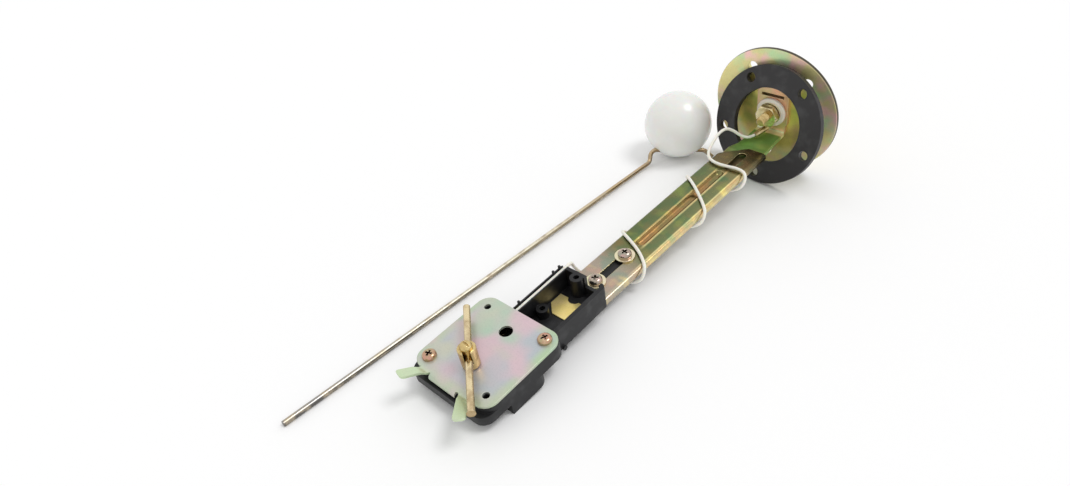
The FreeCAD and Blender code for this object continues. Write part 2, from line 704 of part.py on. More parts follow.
def lever_rod():
    """Short rod through the hub, its tail end slightly spread."""
    centre = pivot + UP * lever_height
    start = centre - lever_way() * lever_short
    bar = rod(lever_dia, start, lever_way(), lever_short + lever_long)
    tail = centre + lever_way() * (lever_long - lever_flare_length)
    flare = Part.makeCone(lever_dia / 2, lever_flare / 2, lever_flare_length, tail, lever_way())
    return bar.fuse(flare).removeSplitter()


def wiper_arm():
    """Brass leaf on the shaft with a contact bump over the resistor."""
    way = lever_way(wiper_lead)
    angle = lever_angle + wiper_lead
    ring = rod(wiper_ring_dia, pivot + UP * wiper_low, UP, wiper_thick)
    leaf = box((0, wiper_reach + wiper_width / 2), (-wiper_width / 2, wiper_width / 2), (0, wiper_thick))
    leaf.rotate(V(), UP, angle)
    leaf.translate(pivot + UP * wiper_low)
    bump = rod(wiper_width / 2, pivot + way * wiper_reach + UP * (wiper_low - wiper_tip), UP, wiper_tip)
    leaf = ring.fuse([leaf, bump])
    return leaf.cut(rod(shaft_dia, pivot + UP * wiper_low, UP, wiper_thick)).removeSplitter()


def arc_wall(inner, outer, z_span, margin):
    """Upright wall on an arc about the pivot, centred on the wiper's sweep."""
    sweep = former_cover - 2 * margin
    middle = lever_angle + wiper_lead + lever_swing / 2
    ring = Part.makeCylinder(outer, z_span[1] - z_span[0], pivot + UP * z_span[0], UP, sweep)
    ring = ring.cut(Part.makeCylinder(inner, z_span[1] - z_span[0], pivot + UP * z_span[0], UP, 360))
    ring.rotate(pivot, UP, middle - sweep / 2)
    return ring


def resistor_former():
    """Curved insulating card that stands in the rear well."""
    half = former_thick / 2
    return arc_wall(wiper_reach - half, wiper_reach + half, (well_floor, winding_top - winding_thick), 0)


def resistor_winding():
    """Resistance wire on the card, as one closed sleeve over its upper part."""
    half = former_thick / 2
    low = (well_floor + winding_top) / 2
    sleeve = arc_wall(wiper_reach - half - winding_thick, wiper_reach + half + winding_thick,
                      (low, winding_top), winding_margin)
    return sleeve.cut(resistor_former())


def contact_plate():
    """Brass plate on the tray's floor with one corner cut off and a round notch in its end."""
    x0, x1 = contact_x
    y0, y1 = contact_y
    z = tray_inside
    cut_end = V(x0 + contact_cut, y0, z)
    points = [V(x0, y1, z), V(x0, y0 + contact_cut, z), cut_end, V(x1, y0, z), V(x1, y1, z)]
    notch = rod(contact_notch, V(*contact_notch_at, z), UP, contact_thick)
    return prism(points, UP * contact_thick).cut(notch)


def wire_tag():
    """Brass angle in the chamber that the signal wire ends on."""
    x_span = (wire_wall_x - tag_width / 2, wire_wall_x + tag_width / 2)
    blade = box(x_span, (tag_face - tag_thick, tag_face), (body_inside, rim_z - seat_gap))
    foot = box(x_span, (tag_face - tag_foot, tag_face), (body_inside, body_inside + tag_thick))
    return blade.fuse(foot).removeSplitter()


def slot_fasteners():
    """Screws, washers and nuts that clamp the arm to the housing's tongue."""
    seat = arm_top + slot_washer_thick
    nut_top = arm_under - tongue_thick
    shank = seat - nut_top + slot_nut_height + slot_screw_proud
    screws = []
    washers = []
    nuts = []
    for y in slot_screws_at:
        screws.append(pan_screw(slot_head_dia, slot_head_height, slot_screw_dia, shank, V(0, y, seat)))
        washers.append(tube(slot_washer_dia, slot_screw_dia, V(0, y, arm_top), UP, slot_washer_thick))
        nut_low = V(0, y, nut_top - slot_nut_height)
        nuts.append(hex_nut(slot_nut_flats, slot_nut_height, slot_screw_dia, nut_low, UP))
    return {
        "slot_screws": along_arm(Part.makeCompound(screws)),
        "slot_washers": along_arm(Part.makeCompound(washers)),
        "slot_nuts": along_arm(Part.makeCompound(nuts)),
    }


def cover_screws():
    """Two self-tapping screws at opposite corners of the cover."""
    shank = cover_screw_length + cover_thick
    return Part.makeCompound([pan_screw(cover_head_dia, cover_head_height, cover_screw_dia, shank, point)
                              for point in corner_points(0)[:2]])


def bent_path(points, radii):
    """Straight runs joined by tangent arcs, and the length of the line."""
    edges = []
    start = points[0]
    for before, corner, after, radius in zip(points, points[1:], points[2:], radii):
        way_in = (corner - before).normalize()
        way_out = (after - corner).normalize()
        half_turn = way_in.getAngle(way_out) / 2
        cut = radius * math.tan(half_turn)
        enter = corner - way_in * cut
        leave = corner + way_out * cut
        inward = (way_out - way_in).normalize()
        middle = corner + inward * (radius / math.cos(half_turn) - radius)
        edges.append(Part.LineSegment(start, enter).toShape())
        edges.append(Part.Arc(enter, middle, leave).toShape())
        start = leave
    edges.append(Part.LineSegment(start, points[-1]).toShape())
    return Part.Wire(edges), sum(edge.Length for edge in edges)


def swept_bar(dia, points, radii):
    """Round bar along straight runs and arcs."""
    path, length = bent_path(points, radii)
    section = Part.Wire(Part.makeCircle(dia / 2, points[0], points[1] - points[0]))
    bar = path.makePipeShell([section], True, False)
    share = bar.Volume / (math.pi * dia * dia / 4 * length)
    return bar, length, share


def cord_radii(points):
    """Largest arc that each corner's two runs allow."""
    radii = []
    for before, corner, after in zip(points, points[1:], points[2:]):
        turn = (corner - before).getAngle(after - corner)
        radii.append(0.45 * min((corner - before).Length, (after - corner).Length) / math.tan(turn / 2))
    return radii


def signal_wire():
    """White wire from the lug, round the arm and into the head."""
    radii = cord_radii(wire_points)
    bar, length, share = swept_bar(wire_dia, wire_points, radii)
    print("signal wire: length %.1f, volume share %.4f" % (length, share))
    print("signal wire radii:", " ".join("%.1f" % radius for radius in radii))
    return bar


def float_pieces():
    """Float with its eye hole and the bent rod that passes through it, on the table."""
    centre = V(float_x, flange_reach - float_setback, float_dia / 2)
    lean = V(eye_lean).normalize()
    axis = V(eye_axis)
    axis = (axis - lean * axis.dot(lean)).normalize()
    middle = centre + lean * eye_offset
    half_chord = math.sqrt((float_dia / 2) ** 2 - eye_offset ** 2)
    near = middle - axis * (half_chord + rod_bend_out)
    far = middle + axis * (half_chord + tail_bend_out)
    knee = near + rod_knee
    drop = knee.z - rod_dia / 2
    level = V(rod_heading).normalize() * math.sqrt(rod_length ** 2 - drop ** 2)
    free_end = knee + level - UP * drop
    tail_end = far + V(tail_way).normalize() * tail_length
    bar = swept_bar(rod_dia, [free_end, knee, near, far, tail_end], [rod_bend] * 3)[0]
    ball = Part.makeSphere(float_dia / 2)
    ball.Placement = FreeCAD.Placement(centre, FreeCAD.Rotation(-lean, V(), axis, "ZXY"))
    eye = rod(rod_dia + 2 * eye_gap, middle - axis * float_dia, axis, 2 * float_dia)
    print("float eye: point (%.3f, %.3f, %.3f), axis (%.5f, %.5f, %.5f)" % (*middle, *axis))
    return {"float_rod": bar, "float_ball": ball.cut(eye)}


def settle(shape):
    """Sender tipped onto the table: the flange rim and the rear block both touch it."""
    placed = shape.copy()
    placed.rotate(V(), ACROSS, tip_angle)
    turn = math.radians(tip_angle)
    placed.translate(V(0, 0, -(block_span[0] * math.sin(turn) + block_low * math.cos(turn))))
    return placed


sender = {
    "flange_plate": flange_plate(),
    "flange_gasket": flange_gasket(),
    "arm_bracket": arm_bracket(),
    "ribbed_arm": ribbed_arm(),
    "resistor_housing": resistor_housing(),
    "cover_plate": cover_plate(),
    "cover_screws": cover_screws(),
    "pivot_bush": pivot_bush(),
    "pivot_hub": pivot_hub(),
    "clamp_screw": clamp_screw(),
    "lever_rod": lever_rod(),
    "wiper_arm": wiper_arm(),
    "retaining_ring": tube(ring_dia, shaft_dia, pivot + UP * (wiper_low - ring_thick), UP, ring_thick),
    "resistor_former": resistor_former(),
    "resistor_winding": resistor_winding(),
    "contact_plate": contact_plate(),
    "wire_tag": wire_tag(),
    "signal_wire": signal_wire(),
}
sender.update(terminal_pieces())
sender.update(slot_fasteners())

pieces = {name: settle(shape) for name, shape in sender.items()}
pieces.update(float_pieces())

whole = Part.makeCompound([shape for name, shape in pieces.items() if name != "signal_wire"])
extent = whole.optimalBoundingBox()
to_origin = V(-extent.Center.x, -extent.Center.y, -extent.ZMin)

os.makedirs("parts", exist_ok=True)
for name, shape in pieces.items():
    shape.translate(to_origin)
    shape.exportStep("parts/%s.step" % name)

print("tip angle %.4f, origin shift (%.4f, %.4f, %.4f)" % (tip_angle, *to_origin))
print("size %.1f x %.1f x %.1f, %d nodes" % (extent.XLength, extent.YLength, extent.ZLength, len(pieces)))
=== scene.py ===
# %% [markdown]
# # A swing arm fuel sender
# This lesson dresses the solid model of a tank level sender. The sender lies on a table on its
# flange rim and on the back of its sensing head, with its float and float rod loose beside it.
# The solids already have their place, so the first cell only loads them and gives a box helper.

# %% Load the solids
import bpy
import bmesh
import json
import math
from mathutils import Matrix, Vector


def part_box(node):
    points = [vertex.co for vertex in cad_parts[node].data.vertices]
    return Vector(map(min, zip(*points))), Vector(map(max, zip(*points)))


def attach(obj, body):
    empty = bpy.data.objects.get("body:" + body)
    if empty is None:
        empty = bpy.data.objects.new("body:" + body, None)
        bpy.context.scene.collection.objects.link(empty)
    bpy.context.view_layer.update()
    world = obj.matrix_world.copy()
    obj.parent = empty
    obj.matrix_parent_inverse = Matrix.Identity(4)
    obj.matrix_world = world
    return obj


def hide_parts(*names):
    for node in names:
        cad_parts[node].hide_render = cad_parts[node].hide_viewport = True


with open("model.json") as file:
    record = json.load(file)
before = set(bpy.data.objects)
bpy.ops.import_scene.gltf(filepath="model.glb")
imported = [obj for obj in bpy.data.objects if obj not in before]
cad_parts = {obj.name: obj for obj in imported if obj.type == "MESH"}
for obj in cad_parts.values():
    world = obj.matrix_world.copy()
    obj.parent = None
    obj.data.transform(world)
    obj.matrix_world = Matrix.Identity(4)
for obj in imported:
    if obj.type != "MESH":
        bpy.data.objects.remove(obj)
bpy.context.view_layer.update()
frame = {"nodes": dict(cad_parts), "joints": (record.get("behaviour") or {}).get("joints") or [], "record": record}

MM = 0.001  # Blender works in metres, this lesson in millimetres

# %% [markdown]
# The sender is tipped by a few degrees, so upright on the head is not upright in the room. Its own
# axes are easier to model in: X across the arm, Y along it towards the flange, Z square to the
# head's cover. Their origin is on top of the cover, over the arm's middle line. The bolt circle in
# the record tells where the axes are: its normal is Y, and its centre is a known way from the origin.

# %% The sender's own axes
BOLT_CENTRE = Vector((0, 218.5, -6.8))

bolts = next(mount for mount in frame["record"]["mounts"] if mount["name"] == "flange_bolts")
axis_y = Vector(bolts["axis"]).normalized()
axis_x = Vector((1, 0, 0))
axis_z = axis_x.cross(axis_y)
turn = Matrix((axis_x, axis_y, axis_z)).transposed()
SENDER = Matrix.Translation(Vector(bolts["pos_m"]) - turn @ (BOLT_CENTRE * MM)) @ turn.to_4x4()


def mm(x, y, z):
    """Millimetres as metres."""
    return Vector((x, y, z)) * MM


def at(x, y, z):
    """A point in the sender's axes, in millimetres, as a place in the room in metres."""
    return SENDER @ mm(x, y, z)


print("sender tipped by", round(math.degrees(math.asin(axis_y.z)), 2), "degrees")

# %% [markdown]
# The camera stands high on the right, behind the head, and looks along the arm. Its place and its
# directions are written in the sender's axes, so that it keeps its view of the object. A lens of
# 24 mm is short: that is why the head looms and the flange looks far away.

# %% Camera
EYE = (165.11, -104.08, 211.58)
VIEW_RIGHT = Vector((0.7245, 0.6710, -0.1575))
VIEW_BACK = Vector((0.5926, -0.4897, 0.6396))
IMAGE_WIDTH = 1070
FOCAL_PIXELS = 720.0
SENSOR = 36.0
NEAREST = 10.0  # nothing closer to the lens is drawn

right = (turn @ VIEW_RIGHT).normalized()
back = turn @ VIEW_BACK
back = (back - right * back.dot(right)).normalized()
lens_data = bpy.data.cameras.new("photo_camera")
lens_data.sensor_fit = "HORIZONTAL"
lens_data.sensor_width = SENSOR
lens_data.lens = FOCAL_PIXELS / IMAGE_WIDTH * SENSOR
lens_data.clip_start = NEAREST * MM
photo_camera = bpy.data.objects.new("photo_camera", lens_data)
looking = Matrix((right, back.cross(right), back)).transposed().to_4x4()
photo_camera.matrix_world = Matrix.Translation(at(*EYE)) @ looking
bpy.context.scene.collection.objects.link(photo_camera)
bpy.context.scene.camera = photo_camera
print("camera at", [round(v, 3) for v in photo_camera.location], "lens", round(lens_data.lens, 2))

# %% [markdown]
# A finish is more than a colour. Each effect that several finishes share is one node group, built
# once: it takes a place on the object and a few colours, and gives a colour, a roughness and a
# height. Three helpers do the clicking: one makes an empty group, one sets or links a socket, and
# one adds a node with all its settings.

# %% Groups and nodes
KINDS = {"value": "NodeSocketFloat", "colour": "NodeSocketColor", "vector": "NodeSocketVector"}
SURFACE = {"Color": "colour", "Roughness": "value", "Height": "value"}


def new_effect(name, inputs, outputs):
    """An empty node group with named inputs and outputs."""
    group = bpy.data.node_groups.new(name, "ShaderNodeTree")
    for way, sockets in (("INPUT", inputs), ("OUTPUT", outputs)):
        for socket, kind in sockets.items():
            group.interface.new_socket(name=socket, in_out=way, socket_type=KINDS[kind])
    return group, group.nodes.new("NodeGroupInput").outputs, group.nodes.new("NodeGroupOutput").inputs


def put(tree, value, socket):
    """Link a socket, or set a number, a vector or a colour."""
    if isinstance(value, bpy.types.NodeSocket):
        tree.links.new(value, socket)
    elif socket.type == "RGBA":
        socket.default_value = (*value[:3], 1.0)
    else:
        socket.default_value = value


def node(tree, kind, values=None, **settings):
    """A node with its settings and its inputs set or linked."""
    made = tree.nodes.new(kind)
    for key, value in settings.items():
        setattr(made, key, value)
    for key, value in (values or {}).items():
        put(tree, value, made.inputs[key])
    return made


print("a surface gives:", list(SURFACE))

# %% [markdown]
# Nearly every pattern here is built from a few bricks: a cloudy noise, a soft step between two values,
# a mix of two colours, and sums of vectors and of numbers. With a name for each brick, a finish reads
# like a recipe.

# %% Bricks for patterns


def cloud(tree, place, scale, detail=2.0):
    """Cloudy values round a half, so many clouds to the metre."""
    values = {"Vector": place, "Scale": scale, "Detail": detail}
    return node(tree, "ShaderNodeTexNoise", values).outputs["Fac"]


def between(tree, value, low, high, start=0.0, end=1.0):
    """A smooth change from start to end while a value goes from low to high."""
    values = {"Value": value, "From Min": low, "From Max": high, "To Min": start, "To Max": end}
    return node(tree, "ShaderNodeMapRange", values, interpolation_type="SMOOTHSTEP").outputs["Result"]


def mixed(tree, share, first, second, kind="MIX"):
    """Two colours mixed by a share."""
    values = {"Factor": share, 6: first, 7: second}
    return node(tree, "ShaderNodeMix", values, data_type="RGBA", blend_type=kind).outputs[2]


def vectors(tree, operation, first, second):
    """Two vectors added, multiplied or the like."""
    return node(tree, "ShaderNodeVectorMath", {0: first, 1: second}, operation=operation).outputs


def sums(tree, operation, *values):
    """One sum of a few values."""
    return node(tree, "ShaderNodeMath", dict(enumerate(values)), operation=operation).outputs["Value"]


print("bricks: cloud, between, mixed, vectors, sums")

# %% [markdown]
# Zinc plating is dipped in a chromate bath, which leaves a thin glassy film. The film's thickness
# wanders, and light between its two faces turns that into clouds of gold, rose and green. The group
# lays three clouds over a ground colour. A finer noise dulls the shine here and there and gives the
# rolled sheet its faint grain. A thick film scatters more light, so a part can ask for a duller one.

# %% Effect: passivate film
FILM_CLOUDS = {  # offset, and the value at which the cloud begins
    "Rose": ((0, 0, 0), 0.40), "Green": ((0.31, 0.12, 0.07), 0.45), "Gold": ((0.05, 0.43, 0.21), 0.51)}
CLOUD_FADE = 0.26
GRAIN_SHADE = (0.93, 0.93, 0.94)

film, take, give = new_effect("passivate_film", {
    "Place": "vector", "Patches": "value", "Ground": "colour", "Rose": "colour", "Green": "colour",
    "Gold": "colour", "Dull": "value"}, SURFACE)
film_colour = take["Ground"]
for hue, (offset, begins) in FILM_CLOUDS.items():
    patches = cloud(film, vectors(film, "ADD", take["Place"], offset)["Vector"], take["Patches"])
    film_colour = mixed(film, between(film, patches, begins, begins + CLOUD_FADE), film_colour, take[hue])
film_grain = cloud(film, take["Place"], scale=1500.0, detail=3.0)
shaded = mixed(film, 1.0, film_colour, GRAIN_SHADE, "MULTIPLY")
put(film, mixed(film, between(film, film_grain, 0.45, 0.70), film_colour, shaded), give["Color"])
wandering = cloud(film, take["Place"], scale=240.0, detail=4.0)
shine = between(film, wandering, 0.3, 0.7, start=0.17, end=0.23)
put(film, sums(film, "ADD", shine, take["Dull"]), give["Roughness"])
put(film, film_grain, give["Height"])
print("film nodes:", len(film.nodes))

# %% [markdown]
# Turned and drawn metal keeps the marks of its making: fine lines that run one way. Stretching a
# noise along one direction gives such lines. Where the lines are deep, old grease keeps them a
# little darker.

# %% Effect: drawn metal
drawn, take, give = new_effect("drawn_metal", {
    "Place": "vector", "Bright": "colour", "Dark": "colour", "Stretch": "vector"}, SURFACE)
stretched = vectors(drawn, "MULTIPLY", take["Place"], take["Stretch"])["Vector"]
draw_lines = cloud(drawn, stretched, scale=1.0, detail=4.0)
tarnish = between(drawn, cloud(drawn, take["Place"], scale=220.0, detail=3.0), 0.42, 0.72)
drawn_colour = mixed(drawn, tarnish, take["Bright"], take["Dark"])
greasy = between(drawn, draw_lines, 0.50, 0.75, start=0.0, end=0.4)
put(drawn, mixed(drawn, greasy, drawn_colour, take["Dark"]), give["Color"])
put(drawn, between(drawn, draw_lines, 0.3, 0.7, start=0.20, end=0.36), give["Roughness"])
put(drawn, draw_lines, give["Height"])
print("drawn metal nodes:", len(drawn.nodes))

# %% [markdown]
# Plastic and rubber take their skin from the mould. A spark-eroded mould leaves a fine pebbled
# grain, and handling leaves paler rubbed patches that are a little smoother than the rest.

# %% Effect: moulded skin
skin, take, give = new_effect("moulded_skin", {
    "Place": "vector", "Body": "colour", "Rubbed": "colour", "Grain": "value"}, SURFACE)
pebbles = node(skin, "ShaderNodeTexVoronoi", {"Vector": take["Place"], "Scale": take["Grain"]},
               feature="SMOOTH_F1").outputs["Distance"]
rubbed = between(skin, cloud(skin, take["Place"], scale=140.0, detail=4.0), 0.46, 0.76)
put(skin, mixed(skin, rubbed, take["Body"], take["Rubbed"]), give["Color"])
put(skin, between(skin, rubbed, 0.0, 1.0, start=0.46, end=0.34), give["Roughness"])
put(skin, pebbles, give["Height"])
print("moulded skin nodes:", len(skin.nodes))

# %% [markdown]
# Edges get a painted highlight. Where a softened normal leaves the true one, an edge is near, and the
# group shows its own colour there.

# %% Effect: painted edge highlight
edges, take, give = new_effect("painted_edge_highlight", {
    "Soft normal": "vector", "True normal": "vector", "Face": "colour", "Edge": "colour"},
    {"Color": "colour"})
agree = vectors(edges, "DOT_PRODUCT", take["Soft normal"], take["True normal"])["Value"]
put(edges, mixed(edges, between(edges, agree, 0.99, 0.86), take["Face"], take["Edge"]), give["Color"])


def highlight_edges(tree, colour, edge_highlight_colour, soft_normal):
    """A colour, with a painted highlight colour where the softened normal tells of an edge."""
    true_normal = node(tree, "ShaderNodeNewGeometry").outputs["Normal"]
    values = {"Soft normal": soft_normal, "True normal": true_normal, "Face": colour, "Edge": edge_highlight_colour}
    return node(tree, "ShaderNodeGroup", values, node_tree=edges).outputs["Color"]


print("edge nodes:", len(edges.nodes))

# %% [markdown]
# Some colours follow the part and not the room: the arm is green beside its groove and brown at its
# far end. This group tells a place across, along and up the sender, in millimetres. It starts from
# Object coordinates: every object here sits at the room's origin, so they are places in the room.

# %% Effect: place on the sender
sender_place, take, give = new_effect(
    "place_on_sender", {"Place": "vector"}, {"Across": "value", "Along": "value", "Up": "value"})
to_sender = SENDER.inverted()
for row, name in enumerate(("Across", "Along", "Up")):
    direction = Vector(to_sender[row][:3]) / MM
    run = vectors(sender_place, "DOT_PRODUCT", take["Place"], direction)["Value"]
    put(sender_place, sums(sender_place, "ADD", run, to_sender[row][3] / MM), give[name])


def on_sender(material):
    """A material's nodes, and its place on the sender: Across, Along and Up."""
    tree = material.node_tree
    values = {"Place": node(tree, "ShaderNodeTexCoord").outputs["Object"]}
    return tree, node(tree, "ShaderNodeGroup", values, node_tree=sender_place).outputs


print("place nodes:", len(sender_place.nodes))

# %% [markdown]
# A material then only picks an effect, its colours, the solids that wear it and a few constants. A
# real edge is never sharp: the Bevel node rounds the shading over the last fraction of a millimetre,
# so that each edge of a stamped or moulded part catches a thin line of light.

# %% One way to make every finish
BUMP_STRENGTH = 0.2
BEVEL_SAMPLES = 6


def finish_from(name, effect, colours, solids, metallic=0.0, bump=0.02, edge=0.25, edge_highlight_colour=None,
                **constants):
    """A material from one effect, on some solids: bump depth and edge radius in millimetres."""
    made = bpy.data.materials.new(name)
    made.use_nodes = True
    tree = made.node_tree
    shader = tree.nodes["Principled BSDF"].inputs
    shader["Metallic"].default_value = metallic
    for key, value in constants.items():
        shader[key.replace("_", " ")].default_value = value
    values = {"Place": node(tree, "ShaderNodeTexCoord").outputs["Object"], **colours}
    surface = node(tree, "ShaderNodeGroup", values, node_tree=effect, name="effect").outputs
    soft = node(tree, "ShaderNodeBevel", {"Radius": edge * MM}, samples=BEVEL_SAMPLES).outputs["Normal"]
    bumps = node(tree, "ShaderNodeBump", {
        "Strength": BUMP_STRENGTH, "Distance": bump * MM, "Height": surface["Height"], "Normal": soft})
    colour = surface["Color"]
    # the edges get a painted highlight colour
    if edge_highlight_colour:
        colour = highlight_edges(tree, colour, edge_highlight_colour, soft)
    put(tree, colour, shader["Base Color"])
    put(tree, surface["Roughness"], shader["Roughness"])
    put(tree, bumps.outputs["Normal"], shader["Normal"])
    for solid in solids:
        worn = frame["nodes"][solid].data.materials
        worn.clear()
        worn.append(made)
    print(name, "on", *solids)
    return made


print("effects:", len(bpy.data.node_groups))

# %% [markdown]
# The flange carries the strongest film, an olive gold with rose and green clouds. It is palest where
# the gasket doesn't shade it, so the distance from its axis chooses between two grounds. Its sheared
# edge is painted nearly black as shade, and so is the spot that the slit in the bracket's foot leaves
# open.

# %% Flange
SHEARED = (35.25, 35.45)  # from the axis, where the dark edge begins
SHADED = (21.0, 27.0)  # from the axis, where the inner colours pass into the outer ones
SLIT_RISE = 9.6  # flange axis to the slit in the bracket's foot
SLIT_HALF_WIDTH = 8.0
SLIT_HALF_HEIGHT = 1.2
FACE_DEPTH = 0.3  # what counts as the flange's inner face
# painted shade for the flange's edge and for the spot under the slit
EDGE_AND_SLIT_SHADE = (0.06, 0.05, 0.03)
FLANGE_COLOURS = {  # inner and outer
    "Ground": ((0.74, 0.65, 0.17), (0.80, 0.73, 0.34)),
    "Rose": ((0.70, 0.52, 0.22), (0.98, 0.63, 0.60)),
    "Green": ((0.48, 0.50, 0.12), (0.58, 0.80, 0.44)),
    "Gold": ((0.86, 0.77, 0.22), (0.88, 0.81, 0.38))}

flange_film = finish_from("flange_gold_film", film, {
    "Patches": 85.0, "Dull": 0.20}, ["flange_plate"], metallic=0.75, bump=0.008)
tree, place = on_sender(flange_film)
aside = sums(tree, "POWER", place["Across"], 2.0)
above = sums(tree, "POWER", sums(tree, "SUBTRACT", place["Up"], BOLT_CENTRE.z), 2.0)
from_axis = sums(tree, "POWER", sums(tree, "ADD", aside, above), 0.5)
# painted shade: the sheared edge and the spot seen through the slit go nearly black
sheared = between(tree, from_axis, *SHEARED)
in_slit = sums(tree, "COMPARE", place["Up"], BOLT_CENTRE.z + SLIT_RISE, SLIT_HALF_HEIGHT)
in_slit = sums(tree, "MULTIPLY", in_slit, sums(tree, "COMPARE", place["Across"], 0.0, SLIT_HALF_WIDTH))
inner_face = sums(tree, "LESS_THAN", place["Along"], BOLT_CENTRE.y + FACE_DEPTH)
dark = sums(tree, "MAXIMUM", sheared, sums(tree, "MULTIPLY", in_slit, inner_face))
for hue, (inner, outer) in FLANGE_COLOURS.items():
    pale = mixed(tree, between(tree, from_axis, *SHADED), inner, outer)
    put(tree, mixed(tree, dark, pale, EDGE_AND_SLIT_SHADE), tree.nodes["effect"].inputs[hue])

# %% [markdown]
# The washers and the small nuts are tumbled in the same bath. Their film stays thinner, so they are
# paler than the flange and shine more.

# %% Washers and small nuts
finish_from("washer_pale_film", film, {
    "Patches": 160.0, "Ground": (0.78, 0.71, 0.48), "Rose": (0.80, 0.67, 0.50),
    "Green": (0.70, 0.71, 0.48), "Gold": (0.86, 0.79, 0.56)},
    ["slot_washers", "inner_washer", "outer_washer", "slot_nuts"], metallic=1.0)

# %% [markdown]
# The arm is a pressed strip. Its film is olive green beside the groove. In the groove a painted shade
# makes it brown, with painted highlights on its sides, and a painted highlight runs gold along the
# edges. Two rows of stops on a colour ramp hold that: one where the arm is plain, and one where it has
# its groove.

# %% Colours across the arm
# across the plain arm: painted highlights near both edges, olive green between
ACROSS_PLAIN = [
    (0.0, (0.42, 0.35, 0.17)), (0.05, (0.16, 0.16, 0.07)), (0.5, (0.19, 0.20, 0.08)),
    (0.89, (0.22, 0.21, 0.09)), (0.92, (0.78, 0.70, 0.36)), (0.955, (0.40, 0.31, 0.14)),
    (1.0, (0.64, 0.57, 0.31))]
# across the groove: painted shade makes it brown, with painted highlights on its sides and near the edges
ACROSS_GROOVE = [
    (0.0, (0.36, 0.32, 0.14)), (0.04, (0.13, 0.16, 0.07)), (0.34, (0.14, 0.18, 0.08)),
    (0.37, (0.56, 0.46, 0.18)), (0.42, (0.20, 0.13, 0.05)), (0.52, (0.33, 0.23, 0.10)),
    (0.58, (0.19, 0.13, 0.05)), (0.63, (0.68, 0.58, 0.27)), (0.67, (0.15, 0.18, 0.08)),
    (0.89, (0.20, 0.22, 0.10)), (0.92, (0.80, 0.72, 0.36)), (0.955, (0.40, 0.31, 0.14)),
    (1.0, (0.64, 0.57, 0.31))]


def stops(tree, value, colours):
    """Colours along a value from 0 to 1."""
    ramp = node(tree, "ShaderNodeValToRGB", {"Fac": value})
    row = ramp.color_ramp.elements
    for end in (0, -1):
        row[end].position = colours[end][0]
        row[end].color = (*colours[end][1], 1.0)
    for position, colour in colours[1:-1]:
        row.new(position).color = (*colour, 1.0)
    return ramp.outputs["Color"]


print("stops:", len(ACROSS_PLAIN), "plain,", len(ACROSS_GROOVE), "with the groove")

# %% [markdown]
# Along the arm the film turns rosy grey at the head and dark brown under the flange, and soft steps
# decide where each colour applies. The arm lies a little askew, so the place across it is measured
# from its own middle line. The film's clouds are tints of whatever colour is beneath them.

# %% Arm
ARM_HALF_WIDTH = 11.3
ARM_ASKEW = 0.0244  # the arm leaves the sender's axis by so much for each millimetre
ARM_TURNS_AT = 110.0
GROOVE_BEGINS = (91.0, 96.0)
GROOVE_ENDS = (167.0, 161.0)
HEAD_END = (92.0, 72.0)
FLANGE_END = (163.0, 172.0)
ROSY_GREY = (0.46, 0.38, 0.32)
DARK_BROWN = (0.13, 0.10, 0.05)


def tint_clouds(tree, colour, tints):
    """Make an effect's clouds tints of a colour that changes over the part."""
    for hue, tint in tints.items():
        put(tree, mixed(tree, 1.0, colour, tint, "MULTIPLY"), tree.nodes["effect"].inputs[hue])


arm_film = finish_from("arm_olive_film", film, {
    "Patches": 120.0, "Dull": 0.05}, ["ribbed_arm"], metallic=1.0, edge=0.4,
    edge_highlight_colour=(0.72, 0.60, 0.31))
tree, place = on_sender(arm_film)
along = place["Along"]
lean = sums(tree, "MULTIPLY", sums(tree, "SUBTRACT", along, ARM_TURNS_AT), ARM_ASKEW)
over = sums(tree, "ADD", sums(tree, "SUBTRACT", place["Across"], lean), ARM_HALF_WIDTH)
share = sums(tree, "DIVIDE", over, 2 * ARM_HALF_WIDTH)
grooved = sums(tree, "MULTIPLY", between(tree, along, *GROOVE_BEGINS), between(tree, along, *GROOVE_ENDS))
arm_colour = mixed(tree, grooved, stops(tree, share, ACROSS_PLAIN), stops(tree, share, ACROSS_GROOVE))
arm_colour = mixed(tree, between(tree, along, *HEAD_END, end=0.8), arm_colour, ROSY_GREY)
arm_colour = mixed(tree, between(tree, along, *FLANGE_END, end=0.85), arm_colour, DARK_BROWN)
tint_clouds(tree, arm_colour, {
    "Ground": (1, 1, 1), "Rose": (1.28, 1.04, 1.02),
    "Green": (0.74, 0.98, 0.98), "Gold": (1.60, 1.55, 1.05)})

# %% [markdown]
# The bracket is one bent strip. Its neck is the greenest piece of all, the foot that stands on the
# flange is a coppery gold, and the leg under the arm is brown. A pale band along the bend between neck
# and foot is a painted highlight.

# %% Bracket
FOOT_FACE = (216.4, 216.0)
LEG_ENDS = (192.0, 180.0)
BEND_BEGINS = (212.0, 213.5)
BEND_ENDS = (216.3, 215.8)
FOOT_COPPER = (0.72, 0.49, 0.31)
NECK_GREEN = (0.25, 0.49, 0.14)
LEG_BROWN = (0.18, 0.14, 0.07)
BEND_HIGHLIGHT = (0.92, 1.00, 0.68)

bracket_film = finish_from("bracket_copper_film", film, {
    "Patches": 90.0, "Dull": 0.18}, ["arm_bracket"], metallic=0.8, edge=0.4,
    edge_highlight_colour=(0.72, 0.60, 0.36))
tree, place = on_sender(bracket_film)
along = place["Along"]
bracket_colour = mixed(tree, between(tree, along, *FOOT_FACE), FOOT_COPPER, NECK_GREEN)
bracket_colour = mixed(tree, between(tree, along, *LEG_ENDS), bracket_colour, LEG_BROWN)
